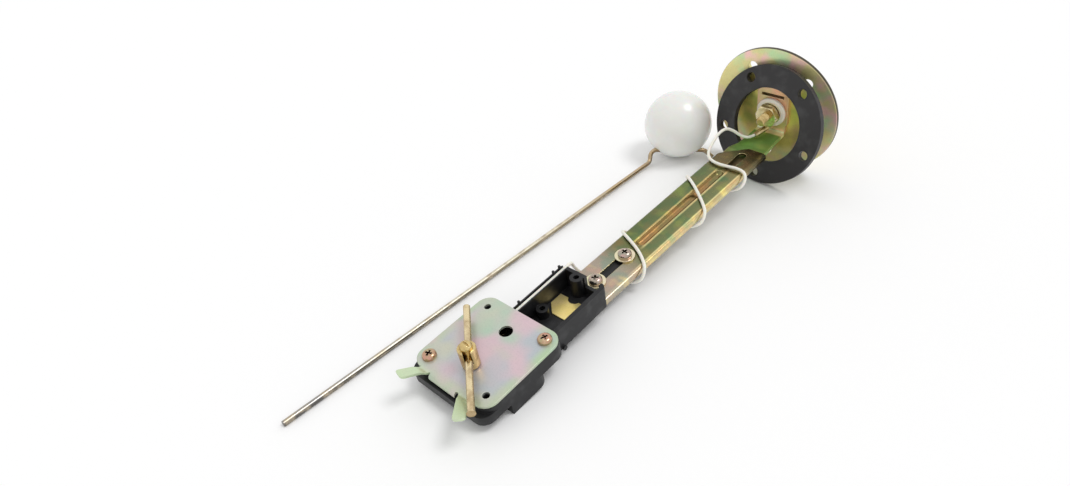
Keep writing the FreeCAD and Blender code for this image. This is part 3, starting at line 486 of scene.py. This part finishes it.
# painted highlight along the bend between neck and foot
at_bend = sums(tree, "MULTIPLY", between(tree, along, *BEND_BEGINS), between(tree, along, *BEND_ENDS))
bracket_colour = mixed(tree, at_bend, bracket_colour, BEND_HIGHLIGHT)
tint_clouds(tree, bracket_colour, {
    "Ground": (1, 1, 1), "Rose": (1.30, 1.00, 1.05),
    "Green": (0.85, 1.05, 0.80), "Gold": (1.20, 1.20, 1.00)})

# %% [markdown]
# The cover is the palest sheet: a lilac grey with broad rose and green clouds. Towards its rim,
# where the film dried last, it turns to a pale green band: the longer distance from the middle,
# across or along, gives that band. The two stop ears in front are greener still, but the lip between
# them isn't. This film is milky, so the sheet is only half metallic and shows a shadow as well as a
# blurred reflection.

# %% Cover
COVER_AT = -3.7  # cover centre from the arm's axis
COVER_SIDE = 44.0
COVER_THICK = 1.2
LIP = (-13.3, 1.9)
RIM_BAND = (17.0, 21.5)  # from the cover's middle
EARS_BEGIN = (-20.5, -24.0)
LILAC_GREY = (0.48, 0.52, 0.55)
RIM_GREEN = (0.46, 0.60, 0.39)
EAR_GREEN = (0.60, 0.74, 0.47)

cover_film = finish_from("cover_pale_film", film, {
    "Patches": 46.0, "Dull": 0.14}, ["cover_plate"], metallic=0.5, bump=0.006,
    edge_highlight_colour=(0.66, 0.70, 0.54))
tree, place = on_sender(cover_film)
aside = sums(tree, "ABSOLUTE", sums(tree, "SUBTRACT", place["Across"], COVER_AT))
out = sums(tree, "MAXIMUM", aside, sums(tree, "ABSOLUTE", place["Along"]))
cover_ground = mixed(tree, between(tree, out, *RIM_BAND), LILAC_GREY, RIM_GREEN)
on_lip = sums(tree, "COMPARE", place["Across"], sum(LIP) / 2, (LIP[1] - LIP[0]) / 2)
in_front = between(tree, place["Along"], *EARS_BEGIN, end=0.85)
on_ears = sums(tree, "MAXIMUM", sums(tree, "SUBTRACT", in_front, on_lip), 0.0)
for hue, colour in (("Ground", cover_ground), ("Rose", (0.67, 0.51, 0.55)),
                    ("Green", (0.44, 0.59, 0.46)), ("Gold", (0.58, 0.58, 0.47))):
    put(tree, mixed(tree, on_ears, colour, EAR_GREEN), tree.nodes["effect"].inputs[hue])

# %% [markdown]
# Brass is turned for the nuts, the hub and the stud, and stamped for the contact plate and the tag.
# A lathe leaves its lines round the stud's axis, so the noise is fine along the sender and stretched
# across it. The plate was dipped after stamping, which gives it the yellow that shines out of the
# black tray.

# %% Brass
TURNED = (300, 2600, 300)

brass = finish_from("turned_brass", drawn, {
    "Bright": (0.66, 0.50, 0.23), "Dark": (0.40, 0.27, 0.10), "Stretch": TURNED},
    ["pivot_hub", "pivot_bush", "clamp_screw", "wiper_arm", "retaining_ring", "wire_tag", "terminal_stud"],
    metallic=1.0, edge_highlight_colour=(0.86, 0.74, 0.44))
finish_from("nut_brass", drawn, {
    "Bright": (0.80, 0.71, 0.44), "Dark": (0.52, 0.40, 0.18), "Stretch": TURNED},
    ["inner_nut", "outer_nut"], metallic=1.0, edge_highlight_colour=(0.90, 0.82, 0.56))
finish_from("stamped_contact_brass", film, {
    "Patches": 150.0, "Ground": (0.93, 0.74, 0.26), "Rose": (0.96, 0.76, 0.33),
    "Green": (0.90, 0.78, 0.30), "Gold": (0.98, 0.85, 0.42), "Dull": 0.15},
    ["contact_plate", "resistor_winding"], metallic=0.8)

# %% [markdown]
# The lever and the float rod are drawn wire with a brown film. A painted highlight makes them bright
# on top, and their sides keep the brown film. The direction that a surface faces tells top from side.
# The long rod is brown beside the float, brightest in the middle and grey at its free end, so it has two
# rows of stops.

# %% Lever and float rod
ROD_FREE_END = -53.0  # free end of the float rod, along the sender
ROD_RUN = 256.0
# along the rod: colours on its sides, and colours of the painted highlight on its top
ROD_SIDES = [(0.0, (0.12, 0.115, 0.11)), (0.45, (0.26, 0.22, 0.14)), (1.0, (0.26, 0.17, 0.08))]
ROD_TOP = [(0.0, (0.30, 0.29, 0.28)), (0.18, (0.60, 0.57, 0.48)), (0.5, (0.76, 0.71, 0.56)),
           (0.75, (0.50, 0.38, 0.22)), (1.0, (0.60, 0.46, 0.30))]


def paint_top_highlight(material, side, top):
    """A painted highlight where a rod faces up, with another colour on its sides."""
    tree = material.node_tree
    normal = node(tree, "ShaderNodeNewGeometry").outputs["Normal"]
    facing_up = node(tree, "ShaderNodeSeparateXYZ", {"Vector": normal}).outputs["Z"]
    # painted highlight on top, the film's colour on the sides
    bright = mixed(tree, between(tree, facing_up, 0.35, 0.85), side, top)
    put(tree, bright, tree.nodes["effect"].inputs["Bright"])


lever_bronze = finish_from("drawn_lever_bronze", drawn, {
    "Dark": (0.50, 0.38, 0.22), "Stretch": (700, 700, 700)}, ["lever_rod"], metallic=1.0)
paint_top_highlight(lever_bronze, side=(0.42, 0.31, 0.16), top=(0.78, 0.65, 0.40))
rod_zinc = finish_from("drawn_rod_zinc", drawn, {
    "Dark": (0.46, 0.39, 0.29), "Stretch": (1600, 40, 1600)}, ["float_rod"], metallic=1.0)
tree, place = on_sender(rod_zinc)
rod_share = sums(tree, "DIVIDE", sums(tree, "SUBTRACT", place["Along"], ROD_FREE_END), ROD_RUN)
paint_top_highlight(rod_zinc, side=stops(tree, rod_share, ROD_SIDES), top=stops(tree, rod_share, ROD_TOP))

# %% [markdown]
# The cover's screws have a coppery film, those in the slot a greyer one, and the crimped lug is tinned
# and dull. A screw's recess gets painted shade: an Ambient Occlusion node finds where the screw's own
# walls close in, which is quicker than painting a mask and follows every copy.

# %% Screws and lug
# colour of the painted shade in a recess, and how far it reaches
RECESS_SHADE = (0.05, 0.03, 0.02)
RECESS_SHADE_REACH = 1.2


def paint_recess_shade(material):
    """Painted shade where a piece's own walls close in."""
    tree = material.node_tree
    base = tree.nodes["Principled BSDF"].inputs["Base Color"]
    unshaded = base.links[0].from_socket
    free = node(tree, "ShaderNodeAmbientOcclusion", {"Distance": RECESS_SHADE_REACH * MM}, only_local=True,
                samples=8).outputs["AO"]
    # painted shade in the recess
    put(tree, mixed(tree, between(tree, free, 0.80, 0.45), unshaded, RECESS_SHADE), base)


screw_copper = finish_from("screw_copper_film", film, {
    "Patches": 330.0, "Ground": (0.50, 0.33, 0.21), "Rose": (0.58, 0.32, 0.24),
    "Green": (0.44, 0.38, 0.22), "Gold": (0.70, 0.54, 0.36)}, ["cover_screws"], metallic=1.0,
    edge_highlight_colour=(0.80, 0.66, 0.50))
screw_grey = finish_from("screw_grey_film", film, {
    "Patches": 330.0, "Ground": (0.40, 0.34, 0.28), "Rose": (0.56, 0.38, 0.34),
    "Green": (0.36, 0.35, 0.28), "Gold": (0.62, 0.55, 0.46)}, ["slot_screws"], metallic=1.0,
    edge_highlight_colour=(0.76, 0.68, 0.56))
paint_recess_shade(screw_copper)
paint_recess_shade(screw_grey)
finish_from("dull_lug_tin", drawn, {
    "Bright": (0.58, 0.48, 0.28), "Dark": (0.30, 0.22, 0.10), "Stretch": (900, 900, 900)},
    ["ring_terminal"], metallic=1.0)

# %% [markdown]
# The housing is a black glass-filled moulding, the gasket is pressed rubber, and the former inside the
# chamber is a brown card. Black is never quite black: a little of the room shines on it, and a lower
# specular level keeps that shine as dull as filled plastic and rubber are.

# %% Black mouldings and card
finish_from("black_housing_moulding", skin, {
    "Body": (0.008, 0.008, 0.009), "Rubbed": (0.022, 0.022, 0.024), "Grain": 1700.0},
    ["resistor_housing"], bump=0.03, edge=0.4, Specular_IOR_Level=0.35)
finish_from("pressed_gasket_rubber", skin, {
    "Body": (0.020, 0.019, 0.020), "Rubbed": (0.042, 0.041, 0.042), "Grain": 1100.0},
    ["flange_gasket"], bump=0.04, edge=0.5, Specular_IOR_Level=0.4)
finish_from("pressed_former_card", skin, {
    "Body": (0.30, 0.20, 0.10), "Rubbed": (0.38, 0.27, 0.15), "Grain": 900.0}, ["resistor_former"])

# %% [markdown]
# The insulators are nylon, the wire's sleeve is soft plastic, and the float is foamed plastic with a
# closed white skin. White plastic lets light in a little before it comes back out, so the white
# pieces get some subsurface scattering. The float's skin is glossy over its grain, which a clear
# coat shows.

# %% White plastics
finish_from("turned_nylon", skin, {
    "Body": (0.84, 0.79, 0.69), "Rubbed": (0.88, 0.85, 0.78), "Grain": 900.0},
    ["inner_insulator", "outer_insulator"], bump=0.01, edge=0.3, Subsurface_Weight=0.15,
    Subsurface_Scale=0.001)
wire_white = finish_from("white_wire_sleeve", skin, {
    "Body": (0.87, 0.85, 0.76), "Rubbed": (0.90, 0.89, 0.83), "Grain": 700.0}, ["signal_wire"], bump=0.01,
    Subsurface_Weight=0.1, Subsurface_Scale=0.0006)
float_white = finish_from("white_float_skin", skin, {
    "Body": (0.83, 0.83, 0.79), "Rubbed": (0.86, 0.86, 0.83), "Grain": 500.0}, ["float_ball"],
    Subsurface_Weight=0.3, Subsurface_Scale=0.004, Coat_Weight=1.0, Coat_Roughness=0.22)

# %% [markdown]
# The next pieces are modelled anew, because the solids leave out what the eye looks for: rolled
# edges, a thread, a cross recess, a mould seam. They are shaped in edit mode, as by hand, but where a
# hand points with the mouse, a script picks faces by a test.

# %% Helpers for shaping


def begin(name, add, **settings):
    """Add a primitive on its own, at its size, and enter edit mode."""
    bpy.ops.object.select_all(action="DESELECT")
    add(**settings)
    piece = bpy.context.object
    piece.name = name
    bpy.ops.object.transform_apply(location=True, rotation=True, scale=True)
    bpy.ops.object.mode_set(mode="EDIT")
    return piece


def pick(kind, test):
    """Select only the faces, edges or vertices that pass a test."""
    bpy.ops.mesh.select_mode(type=kind)
    bpy.ops.mesh.select_all(action="DESELECT")
    shape = bmesh.from_edit_mesh(bpy.context.object.data)
    shape.normal_update()
    for part in {"FACE": shape.faces, "EDGE": shape.edges, "VERT": shape.verts}[kind]:
        if test(part):
            part.select_set(True)
    shape.select_flush_mode()
    bmesh.update_edit_mesh(bpy.context.object.data)


def pull(*step):
    """Extrude the selection by a step in millimetres."""
    bpy.ops.mesh.extrude_region_move(TRANSFORM_OT_translate={"value": mm(*step)})


def middle(part):
    """Middle of an edge or a face."""
    return sum((v.co for v in part.verts), Vector()) / len(part.verts)


# %% [markdown]
# Some work is done on the whole piece, outside edit mode: cutting it with a tool, as a punch or a
# drill does, and breaking its sharp edges. Both are modifiers that are applied at once, so that the
# next step finds a plain mesh. Weighted normals keep the flats flat beside the small bevels.

# %% Helpers for cutting and edges
SHARP = math.radians(40)
SMOOTH = math.radians(45)


def activate(piece):
    """Leave edit mode and select only this piece."""
    if bpy.context.object and bpy.context.object.mode == "EDIT":
        bpy.ops.object.mode_set(mode="OBJECT")
    bpy.ops.object.select_all(action="DESELECT")
    piece.select_set(True)
    bpy.context.view_layer.objects.active = piece


def modify(piece, name, kind, **settings):
    """Give a piece a modifier and apply it at once."""
    activate(piece)
    step = piece.modifiers.new(name, kind)
    for key, value in settings.items():
        setattr(step, key, value)
    bpy.ops.object.modifier_apply(modifier=step.name)


def cut(piece, tool):
    """Cut a piece with a tool and throw the tool away."""
    modify(piece, "cut", "BOOLEAN", operation="DIFFERENCE", object=tool)
    bpy.data.objects.remove(tool)


def break_edges(piece, width):
    """Round a piece's sharp edges by a width in millimetres and shade it smooth."""
    modify(piece, "edges", "BEVEL", width=width * MM, segments=2, limit_method="ANGLE", angle_limit=SHARP)
    bpy.ops.object.shade_smooth_by_angle(angle=SMOOTH)
    modify(piece, "flats", "WEIGHTED_NORMAL", keep_sharp=True)


print("sharp from", round(math.degrees(SHARP)), "degrees")

# %% [markdown]
# A finished piece is taken from the sender's axes to its place in the room. That place goes into its
# mesh, so that the object stays at the origin like the solids. Then it is dressed, stands for its
# solid and rides on a body, with which it moves.

# %% Helpers for seating


def move_to(piece, place):
    """Take a piece to a place and put that place into its mesh."""
    activate(piece)
    piece.matrix_world = place
    bpy.ops.object.transform_apply(location=True, rotation=True, scale=True)


def seat(piece, material, node_name, body="sender", place=SENDER):
    """Take a finished piece to its place, dress it and let it stand for its solid."""
    move_to(piece, place @ piece.matrix_world)
    bpy.ops.object.mode_set(mode="EDIT")
    bpy.ops.mesh.select_all(action="SELECT")
    bpy.ops.mesh.normals_make_consistent(inside=False)
    bpy.ops.object.mode_set(mode="OBJECT")
    piece.data.materials.clear()
    piece.data.materials.append(material)
    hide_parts(node_name)
    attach(piece, body)
    print(piece.name, "faces:", len(piece.data.polygons))


# %% [markdown]
# The cover is stamped from sheet. It starts as a flat block whose four upright edges are bevelled to
# round corners. Cuts across it then mark where the two stop ears and the lip leave its front edge.
# Bisecting the block is the simplest way to get faces of the right width there.

# %% Cover: blank
COVER_CORNER = 6.0
EAR_ROOTS = [(-19.07, -13.96), (3.30, 10.10)]


def through_sheet(edge):
    """Whether an edge runs through the sheet's thickness."""
    return abs(edge.verts[0].co.z - edge.verts[1].co.z) > 0.5 * COVER_THICK * MM


cover = begin("cover_sheet", bpy.ops.mesh.primitive_cube_add, size=1,
              location=mm(COVER_AT, 0, -COVER_THICK / 2), scale=mm(COVER_SIDE, COVER_SIDE, COVER_THICK))
pick("EDGE", through_sheet)
bpy.ops.mesh.bevel(offset=COVER_CORNER * MM, segments=8, affect="EDGES")
for root in (LIP, *EAR_ROOTS):
    for x in root:
        bpy.ops.mesh.select_all(action="SELECT")
        bpy.ops.mesh.bisect(plane_co=mm(x, 0, 0), plane_no=(1, 0, 0), threshold=1e-6)
print("cover blank faces:", len(bmesh.from_edit_mesh(cover.data).faces))

# %% [markdown]
# The lip is drawn down over the housing in three short steps. Each ear is drawn out and bent up in
# three steps, its end turned square to its own direction, narrowed and rounded. Small steps give the
# bends a radius, as a press does, where one long step would leave a crease.

# %% Cover: lip and ears
LIP_STEPS = [(0, -0.6, -0.2), (0, -0.55, -0.45), (0, -0.45, -0.75)]
EAR_STEPS = [
    [(-0.28, -1.3, 0.5), (-0.39, -1.9, 1.9), (-1.5, -7.3, 3.65)],
    [(1.20, -1.3, 0.5), (1.75, -1.9, 1.9), (6.8, -7.3, 3.65)]]
EAR_TURNS = [11.6, -42.7]
EAR_TAPERS = [0.979, 0.735]
EAR_CORNER = 1.5
NEAR_TIP = 3.0


def pick_front(x0, x1):
    """Pick the faces of the front edge between two places across."""
    pick("FACE", lambda f: f.normal.y < -0.9 and x0 * MM < middle(f).x < x1 * MM)


pick_front(*LIP)
for step in LIP_STEPS:
    pull(*step)
for root, steps, angle, taper in zip(EAR_ROOTS, EAR_STEPS, EAR_TURNS, EAR_TAPERS):
    pick_front(*root)
    tip = mm(sum(root) / 2, -COVER_SIDE / 2, -COVER_THICK / 2)
    for step in steps:
        pull(*step)
        tip += mm(*step)
    bpy.ops.transform.rotate(value=math.radians(angle), orient_axis="Z", center_override=tip)
    bpy.ops.transform.resize(value=(taper, taper, 1), center_override=tip)
    pick("EDGE", lambda e: through_sheet(e) and (middle(e) - tip).length < NEAR_TIP * MM)
    bpy.ops.mesh.bevel(offset=EAR_CORNER * MM, segments=4, affect="EDGES")
bpy.ops.object.mode_set(mode="OBJECT")
print("cover with lip and ears, faces:", len(cover.data.polygons))

# %% [markdown]
# Last come the holes: four for screws in the corners, one to look through and one for the pivot's
# bush. They are punched before the edges are broken, so that their rims are rolled like the outer
# edge.

# %% Cover: holes and edges
HOLE_OUT = 16.5  # screw holes from the cover's middle, across and along
COVER_HOLES = [  # across, along and diameter
    (-HOLE_OUT, -HOLE_OUT, 3.1), (HOLE_OUT, -HOLE_OUT, 3.1), (HOLE_OUT, HOLE_OUT, 3.1),
    (-HOLE_OUT, HOLE_OUT, 3.1), (0, 10.9, 6.0), (1.0, -9.4, 6.0)]
PUNCH_LENGTH = 6.0
ROLLED_EDGE = 0.2

for x, y, dia in COVER_HOLES:
    punch = begin("punch", bpy.ops.mesh.primitive_cylinder_add, vertices=40, radius=dia / 2 * MM,
                  depth=PUNCH_LENGTH * MM, location=mm(COVER_AT + x, y, 0))
    cut(cover, punch)
break_edges(cover, ROLLED_EDGE)
seat(cover, cover_film, "cover_plate")

# %% [markdown]
# A pan-head screw is headed from wire: a short cylinder whose top edge is rolled over far enough to
# leave only a small flat. The shank is drawn out of the underside to a blunt tip, and a tapered
# punch, struck twice, gives the cross recess. A function makes it, because two sizes are needed.

# %% Pan-head screw
HEAD_ROLL = 0.72  # of the head's height
TIP_LENGTH = 0.8
TIP_TAPER = 0.65
RECESS_LENGTH = 0.64  # of the head's diameter
RECESS_WIDTH = 0.19
RECESS_PUNCH = 2.4  # height of the punch, half of it above the head
RECESS_TAPER = 0.6
RECESS_TURNS = (30, 120)
SCREW_EDGE = 0.06


def pan_head_screw(head, height, shank, length):
    """Screw with its seat at the origin: head above, shank below."""
    screw = begin("screw", bpy.ops.mesh.primitive_cylinder_add, vertices=48, radius=head / 2 * MM,
                  depth=height * MM, location=mm(0, 0, height / 2))
    pick("EDGE", lambda e: min(v.co.z for v in e.verts) > 0.9 * height * MM)
    bpy.ops.mesh.bevel(offset=HEAD_ROLL * height * MM, segments=8, affect="EDGES")
    pick("FACE", lambda f: f.normal.z < -0.9)
    bpy.ops.mesh.inset(thickness=(head - shank) / 2 * MM)
    pull(0, 0, TIP_LENGTH - length)
    pull(0, 0, -TIP_LENGTH)
    bpy.ops.transform.resize(value=(TIP_TAPER, TIP_TAPER, 1))
    bpy.ops.object.mode_set(mode="OBJECT")
    for angle in RECESS_TURNS:
        punch = begin("punch", bpy.ops.mesh.primitive_cube_add, size=1, location=mm(0, 0, height),
                      scale=mm(RECESS_LENGTH * head, RECESS_WIDTH * head, RECESS_PUNCH),
                      rotation=(0, 0, math.radians(angle)))
        pick("VERT", lambda v: v.co.z < height * MM)
        bpy.ops.transform.resize(value=(RECESS_TAPER, RECESS_TAPER, 1))
        cut(screw, punch)
    break_edges(screw, SCREW_EDGE)
    return screw


print("recess cut at", RECESS_TURNS, "degrees")

# %% [markdown]
# Two screws hold the cover and two clamp the head in the arm's slot. Each kind is modelled once and
# copied, and every copy is turned a little differently, as a hand leaves screws when they are tight.

# %% Screws in their places
COVER_SCREWS = {  # turn in degrees, and place of the seat
    "cover_screw_front": (-10, (COVER_AT - HOLE_OUT, -HOLE_OUT, 0)),
    "cover_screw_back": (35, (COVER_AT + HOLE_OUT, HOLE_OUT, 0))}
SLOT_SCREWS = {
    "slot_screw_head_end": (5, (-1.14, 63.3, -12.7)),
    "slot_screw_arm_end": (50, (-0.63, 84.3, -12.7))}

cover_blank = pan_head_screw(head=6.2, height=2.1, shank=2.9, length=7.2)
slot_blank = pan_head_screw(head=6.6, height=2.3, shank=4.0, length=9.2)
for blank, solid, places, material in (
        (cover_blank, "cover_screws", COVER_SCREWS, screw_copper),
        (slot_blank, "slot_screws", SLOT_SCREWS, screw_grey)):
    for name, (turned, place) in places.items():
        activate(blank)
        bpy.ops.object.duplicate()
        screw = bpy.context.object
        screw.name = name
        screw.rotation_euler.z = math.radians(turned)
        screw.location = mm(*place)
        bpy.context.view_layer.update()
        seat(screw, material, solid)
    bpy.data.objects.remove(blank)

# %% [markdown]
# The terminal stud is threaded from end to end. One groove's profile is drawn point by point, and
# the Screw modifier sweeps it along a helix of one pitch to the turn. A spin with a rise would do,
# but the modifier keeps the pitch exact over forty turns.

# %% Stud: thread
STUD_LENGTH = 31.4
PITCH = 0.8
CREST = 2.48
ROOT = 2.05
FLANK = 0.33  # along the stud
CREST_FLAT = 0.14
THREAD_STEPS = 24  # to a turn

stud = begin("threaded_stud", bpy.ops.mesh.primitive_plane_add, size=1 * MM)
pick("VERT", lambda v: v.index > 0)
bpy.ops.mesh.delete(type="VERT")
pick("VERT", lambda v: True)
bpy.ops.transform.translate(value=mm(ROOT + 0.5, 0.5, -PITCH))
for step in ((CREST - ROOT, 0, FLANK), (0, 0, CREST_FLAT), (ROOT - CREST, 0, FLANK)):
    pull(*step)
modify(stud, "thread", "SCREW", screw_offset=PITCH * MM, steps=THREAD_STEPS, render_steps=THREAD_STEPS,
       iterations=math.ceil(STUD_LENGTH / PITCH) + 2)
print("thread faces:", len(stud.data.polygons))

# %% [markdown]
# The sweep leaves open seams between its turns, so doubles are merged first. Cutting both ends flat
# then closes the thread, and a small cone at each end lets a nut start.

# %% Stud: ends
STUD_START = 203.1  # inner end, along the sender
CONE = 0.4
CONE_TAPER = 0.78

bpy.ops.object.mode_set(mode="EDIT")
bpy.ops.mesh.select_all(action="SELECT")
bpy.ops.mesh.remove_doubles(threshold=5e-6)
bpy.ops.mesh.normals_make_consistent(inside=False)
for end, way in ((CONE, -1), (STUD_LENGTH - CONE, 1)):
    bpy.ops.mesh.select_all(action="SELECT")
    bpy.ops.mesh.bisect(plane_co=mm(0, 0, end), plane_no=(0, 0, way), use_fill=True, clear_outer=True,
                        threshold=1e-7)
    pick("FACE", lambda f: abs(middle(f).z - end * MM) < 1e-7 and f.normal.z * way > 0.9)
    pull(0, 0, way * CONE)
    bpy.ops.transform.resize(value=(CONE_TAPER, CONE_TAPER, 1))
activate(stud)
bpy.ops.object.shade_smooth_by_angle(angle=math.radians(35))
stud.rotation_euler = (-math.pi / 2, 0, 0)
stud.location = mm(0, STUD_START, BOLT_CENTRE.z)
bpy.context.view_layer.update()
seat(stud, brass, "terminal_stud")

# %% [markdown]
# The float is a foamed ball, moulded in two halves that leave a fine seam. A sphere's equator is
# bevelled to a narrow band, and the band's middle is raised. The ball's place is that of its solid,
# and its poles lie square to the eye, so that the seam runs through both of the eye's mouths, where
# the mould parted.

# %% Float: ball and seam
SEAM_WIDTH = 0.35
SEAM_RISE = 1.003  # of the ball's radius
SEAM_ROOM = 0.08  # the ball is smaller by so much, to make room for its seam
ON_SEAM = 1e-6


def standing(place, direction):
    """A place in the room with its upright turned to a direction."""
    upright = Vector((0, 0, 1)).rotation_difference(direction)
    return Matrix.Translation(place) @ upright.to_matrix().to_4x4()


low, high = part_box("float_ball")
ball_radius = min(high - low) / 2 / MM
eye_joint = next(joint for joint in frame["joints"] if joint["name"] == "float_turn")
eye_way = Vector(eye_joint["axis"]).normalized()
pole = eye_way.cross(Vector((0, 0, 1))).normalized()
ball = begin("float_moulding", bpy.ops.mesh.primitive_uv_sphere_add, segments=72, ring_count=36,
             radius=(ball_radius - SEAM_ROOM) * MM)
pick("EDGE", lambda e: all(abs(v.co.z) < ON_SEAM for v in e.verts))
bpy.ops.mesh.bevel(offset=SEAM_WIDTH * MM, segments=2, affect="EDGES")
pick("VERT", lambda v: abs(v.co.z) < ON_SEAM)
bpy.ops.transform.resize(value=(SEAM_RISE, SEAM_RISE, 1))
activate(ball)
bpy.ops.object.shade_smooth()
move_to(ball, standing((low + high) / 2, pole))
print("ball radius in mm:", round(ball_radius, 2))

# %% [markdown]
# The rod passes through an eye across the ball, near its underside. The joint on which the float
# turns gives the eye's place and direction, so the hole can't miss the rod.

# %% Float: eye
EYE_RADIUS = 1.33
DRILL_LENGTH = 50.0

drill = begin("drill", bpy.ops.mesh.primitive_cylinder_add, vertices=40, radius=EYE_RADIUS * MM,
              depth=DRILL_LENGTH * MM)
move_to(drill, standing(Vector(eye_joint["pos_m"]), eye_way))
cut(ball, drill)
bpy.ops.object.shade_smooth_by_angle(angle=SHARP)
seat(ball, float_white, "float_ball", body="float", place=Matrix.Identity(4))

# %% [markdown]
# The signal wire is a thin white lead. It leaves the crimped lug on the terminal, rises in a loose
# arch, goes round the arm three times and runs along the head's side wall to a tag under the cover.
# Its points are listed in the sender's axes, a few for each side of a turn.

# %% Signal wire: route
WIRE_DIA = 1.6
WIRE_ROUTE = [
    (-2.46, 206.67, -16.06), (-4.09, 201.46, -16.81), (-8.2, 198.8, -15.4), (-11.2, 196.0, -11.2),
    (-13.2, 191.4, -7.6), (-14.2, 185.4, -8.0), (-14.0, 179.2, -10.4), (-12.8, 173.6, -11.9),
    (-9.8, 168.8, -12.2), (-4.4, 166.4, -12.2), (2.0, 166.6, -12.2), (8.6, 167.4, -11.9),
    (14.0, 166.0, -12.4), (14.8, 162.6, -17.2), (11.4, 159.8, -20.2), (4.0, 158.0, -20.6),
    (-4.6, 156.4, -20.6), (-10.6, 154.6, -19.4), (-12.6, 152.4, -15.6), (-10.2, 149.8, -12.3),
    (-3.8, 145.4, -12.2), (3.2, 139.6, -12.2), (9.2, 134.0, -11.8), (13.6, 129.8, -13.2),
    (13.2, 125.6, -18.4), (5.0, 119.8, -18.8), (-2.4, 113.2, -18.8), (-9.4, 106.2, -18.8),
    (-13.6, 100.8, -16.6), (-12.2, 97.0, -12.6), (-6.2, 94.2, -12.2), (1.6, 90.6, -12.2),
    (8.0, 86.2, -11.8), (12.4, 82.4, -13.2), (12.4, 78.6, -18.8), (4.8, 75.4, -20.0),
    (-2.4, 72.6, -20.0), (-9.6, 69.6, -19.8), (-14.2, 66.8, -16.8), (-14.4, 63.8, -10.6),
    (-12.6, 61.2, -5.6), (-10.2, 58.0, -2.6), (-9.8, 50.6, -2.2), (-9.8, 39.6, -2.3),
    (-9.8, 28.6, -2.2), (-9.8, 17.7, -2.3)]
print("wire points:", len(WIRE_ROUTE))

# %% [markdown]
# A NURBS curve is right for a lead: the points pull it along without kinks. While it is still a bare
# line, it is turned into a mesh once, and that mesh is thrown away again.

# %% Signal wire: line
curve = bpy.data.curves.new("signal_lead", "CURVE")
curve.dimensions = "3D"
spline = curve.splines.new("NURBS")
spline.points.add(len(WIRE_ROUTE) - 1)
for point, place in zip(spline.points, WIRE_ROUTE):
    point.co = (*at(*place), 1.0)
spline.order_u = 3
spline.use_endpoint_u = True
spline.resolution_u = 8
signal_lead = bpy.data.objects.new("signal_lead", curve)
bpy.context.scene.collection.objects.link(signal_lead)
bare = signal_lead.evaluated_get(bpy.context.evaluated_depsgraph_get())
line = bpy.data.meshes.new_from_object(bare)
bpy.data.meshes.remove(line)

# %% [markdown]
# The curve's bevel then gives the lead its round section, and caps close its ends. A swept mesh
# would look the same, but a bevelled curve's points can still be moved.

# %% Signal wire: section
curve.bevel_depth = WIRE_DIA / 2 * MM
curve.bevel_resolution = 5
curve.use_fill_caps = True
curve.materials.append(wire_white)
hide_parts("signal_wire")
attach(signal_lead, "sender")
print("signal lead across in mm:", WIRE_DIA)

# %% [markdown]
# The table is a plain pale sheet, large enough to run past the picture on every side. It isn't part
# of the object. It has no shine, so that only the soft shadow shows where the object stands.

# %% Table
TABLE_SIZE = 6.0  # in metres
TABLE_LOOK = {"Base Color": (0.98, 0.98, 0.98, 1), "Roughness": 1.0, "Specular IOR Level": 0.0}

bpy.ops.mesh.primitive_plane_add(size=TABLE_SIZE)
table = bpy.context.object
table.name = "table"
table_white = bpy.data.materials.new("table_white")
table_white.use_nodes = True
for key, value in TABLE_LOOK.items():
    table_white.node_tree.nodes["Principled BSDF"].inputs[key].default_value = value
table.data.materials.append(table_white)
print("table:", TABLE_SIZE, "m square")

# %% [markdown]
# The white room lights the object softly, a little below full white, but the camera and every
# reflection see it at full white: the Light Path node tells those rays from the light.

# %% Room
ROOM_LIGHT = 0.78

world = bpy.data.worlds.new("studio")
bpy.context.scene.world = world
world.use_nodes = True
room = world.node_tree
soft_room = room.nodes["Background"]
soft_room.inputs["Color"].default_value = (1, 1, 1, 1)
soft_room.inputs["Strength"].default_value = ROOM_LIGHT
white_room = node(room, "ShaderNodeBackground", {"Color": (1, 1, 1), "Strength": 1.0})
ray = node(room, "ShaderNodeLightPath").outputs
seen = sums(room, "MAXIMUM", ray["Is Camera Ray"], ray["Is Glossy Ray"])
seen = sums(room, "MAXIMUM", seen, ray["Is Transmission Ray"])
both = node(room, "ShaderNodeMixShader", {0: seen, 1: soft_room.outputs[0], 2: white_room.outputs[0]})
put(room, both.outputs[0], room.nodes["World Output"].inputs["Surface"])
bpy.context.scene.view_settings.view_transform = "Standard"
print("room light:", ROOM_LIGHT)

# %% [markdown]
# One broad soft lamp, high on the right of the picture, gives the shadow under the object and the
# highlight on the float. A sun with a wide angle is as soft as a large panel and lights the whole
# object alike.

# %% Lamp
LAMP_LIGHT = 0.85
LAMP_ANGLE = 22
LAMP_FROM = Vector((0.36, 0.26, 0.90))

lamp_data = bpy.data.lights.new("soft_lamp", "SUN")
lamp_data.energy = LAMP_LIGHT
lamp_data.angle = math.radians(LAMP_ANGLE)
soft_lamp = bpy.data.objects.new("soft_lamp", lamp_data)
soft_lamp.rotation_euler = (-LAMP_FROM).to_track_quat("-Z", "Y").to_euler()
bpy.context.scene.collection.objects.link(soft_lamp)
print("lamp light:", LAMP_LIGHT, "angle:", LAMP_ANGLE)
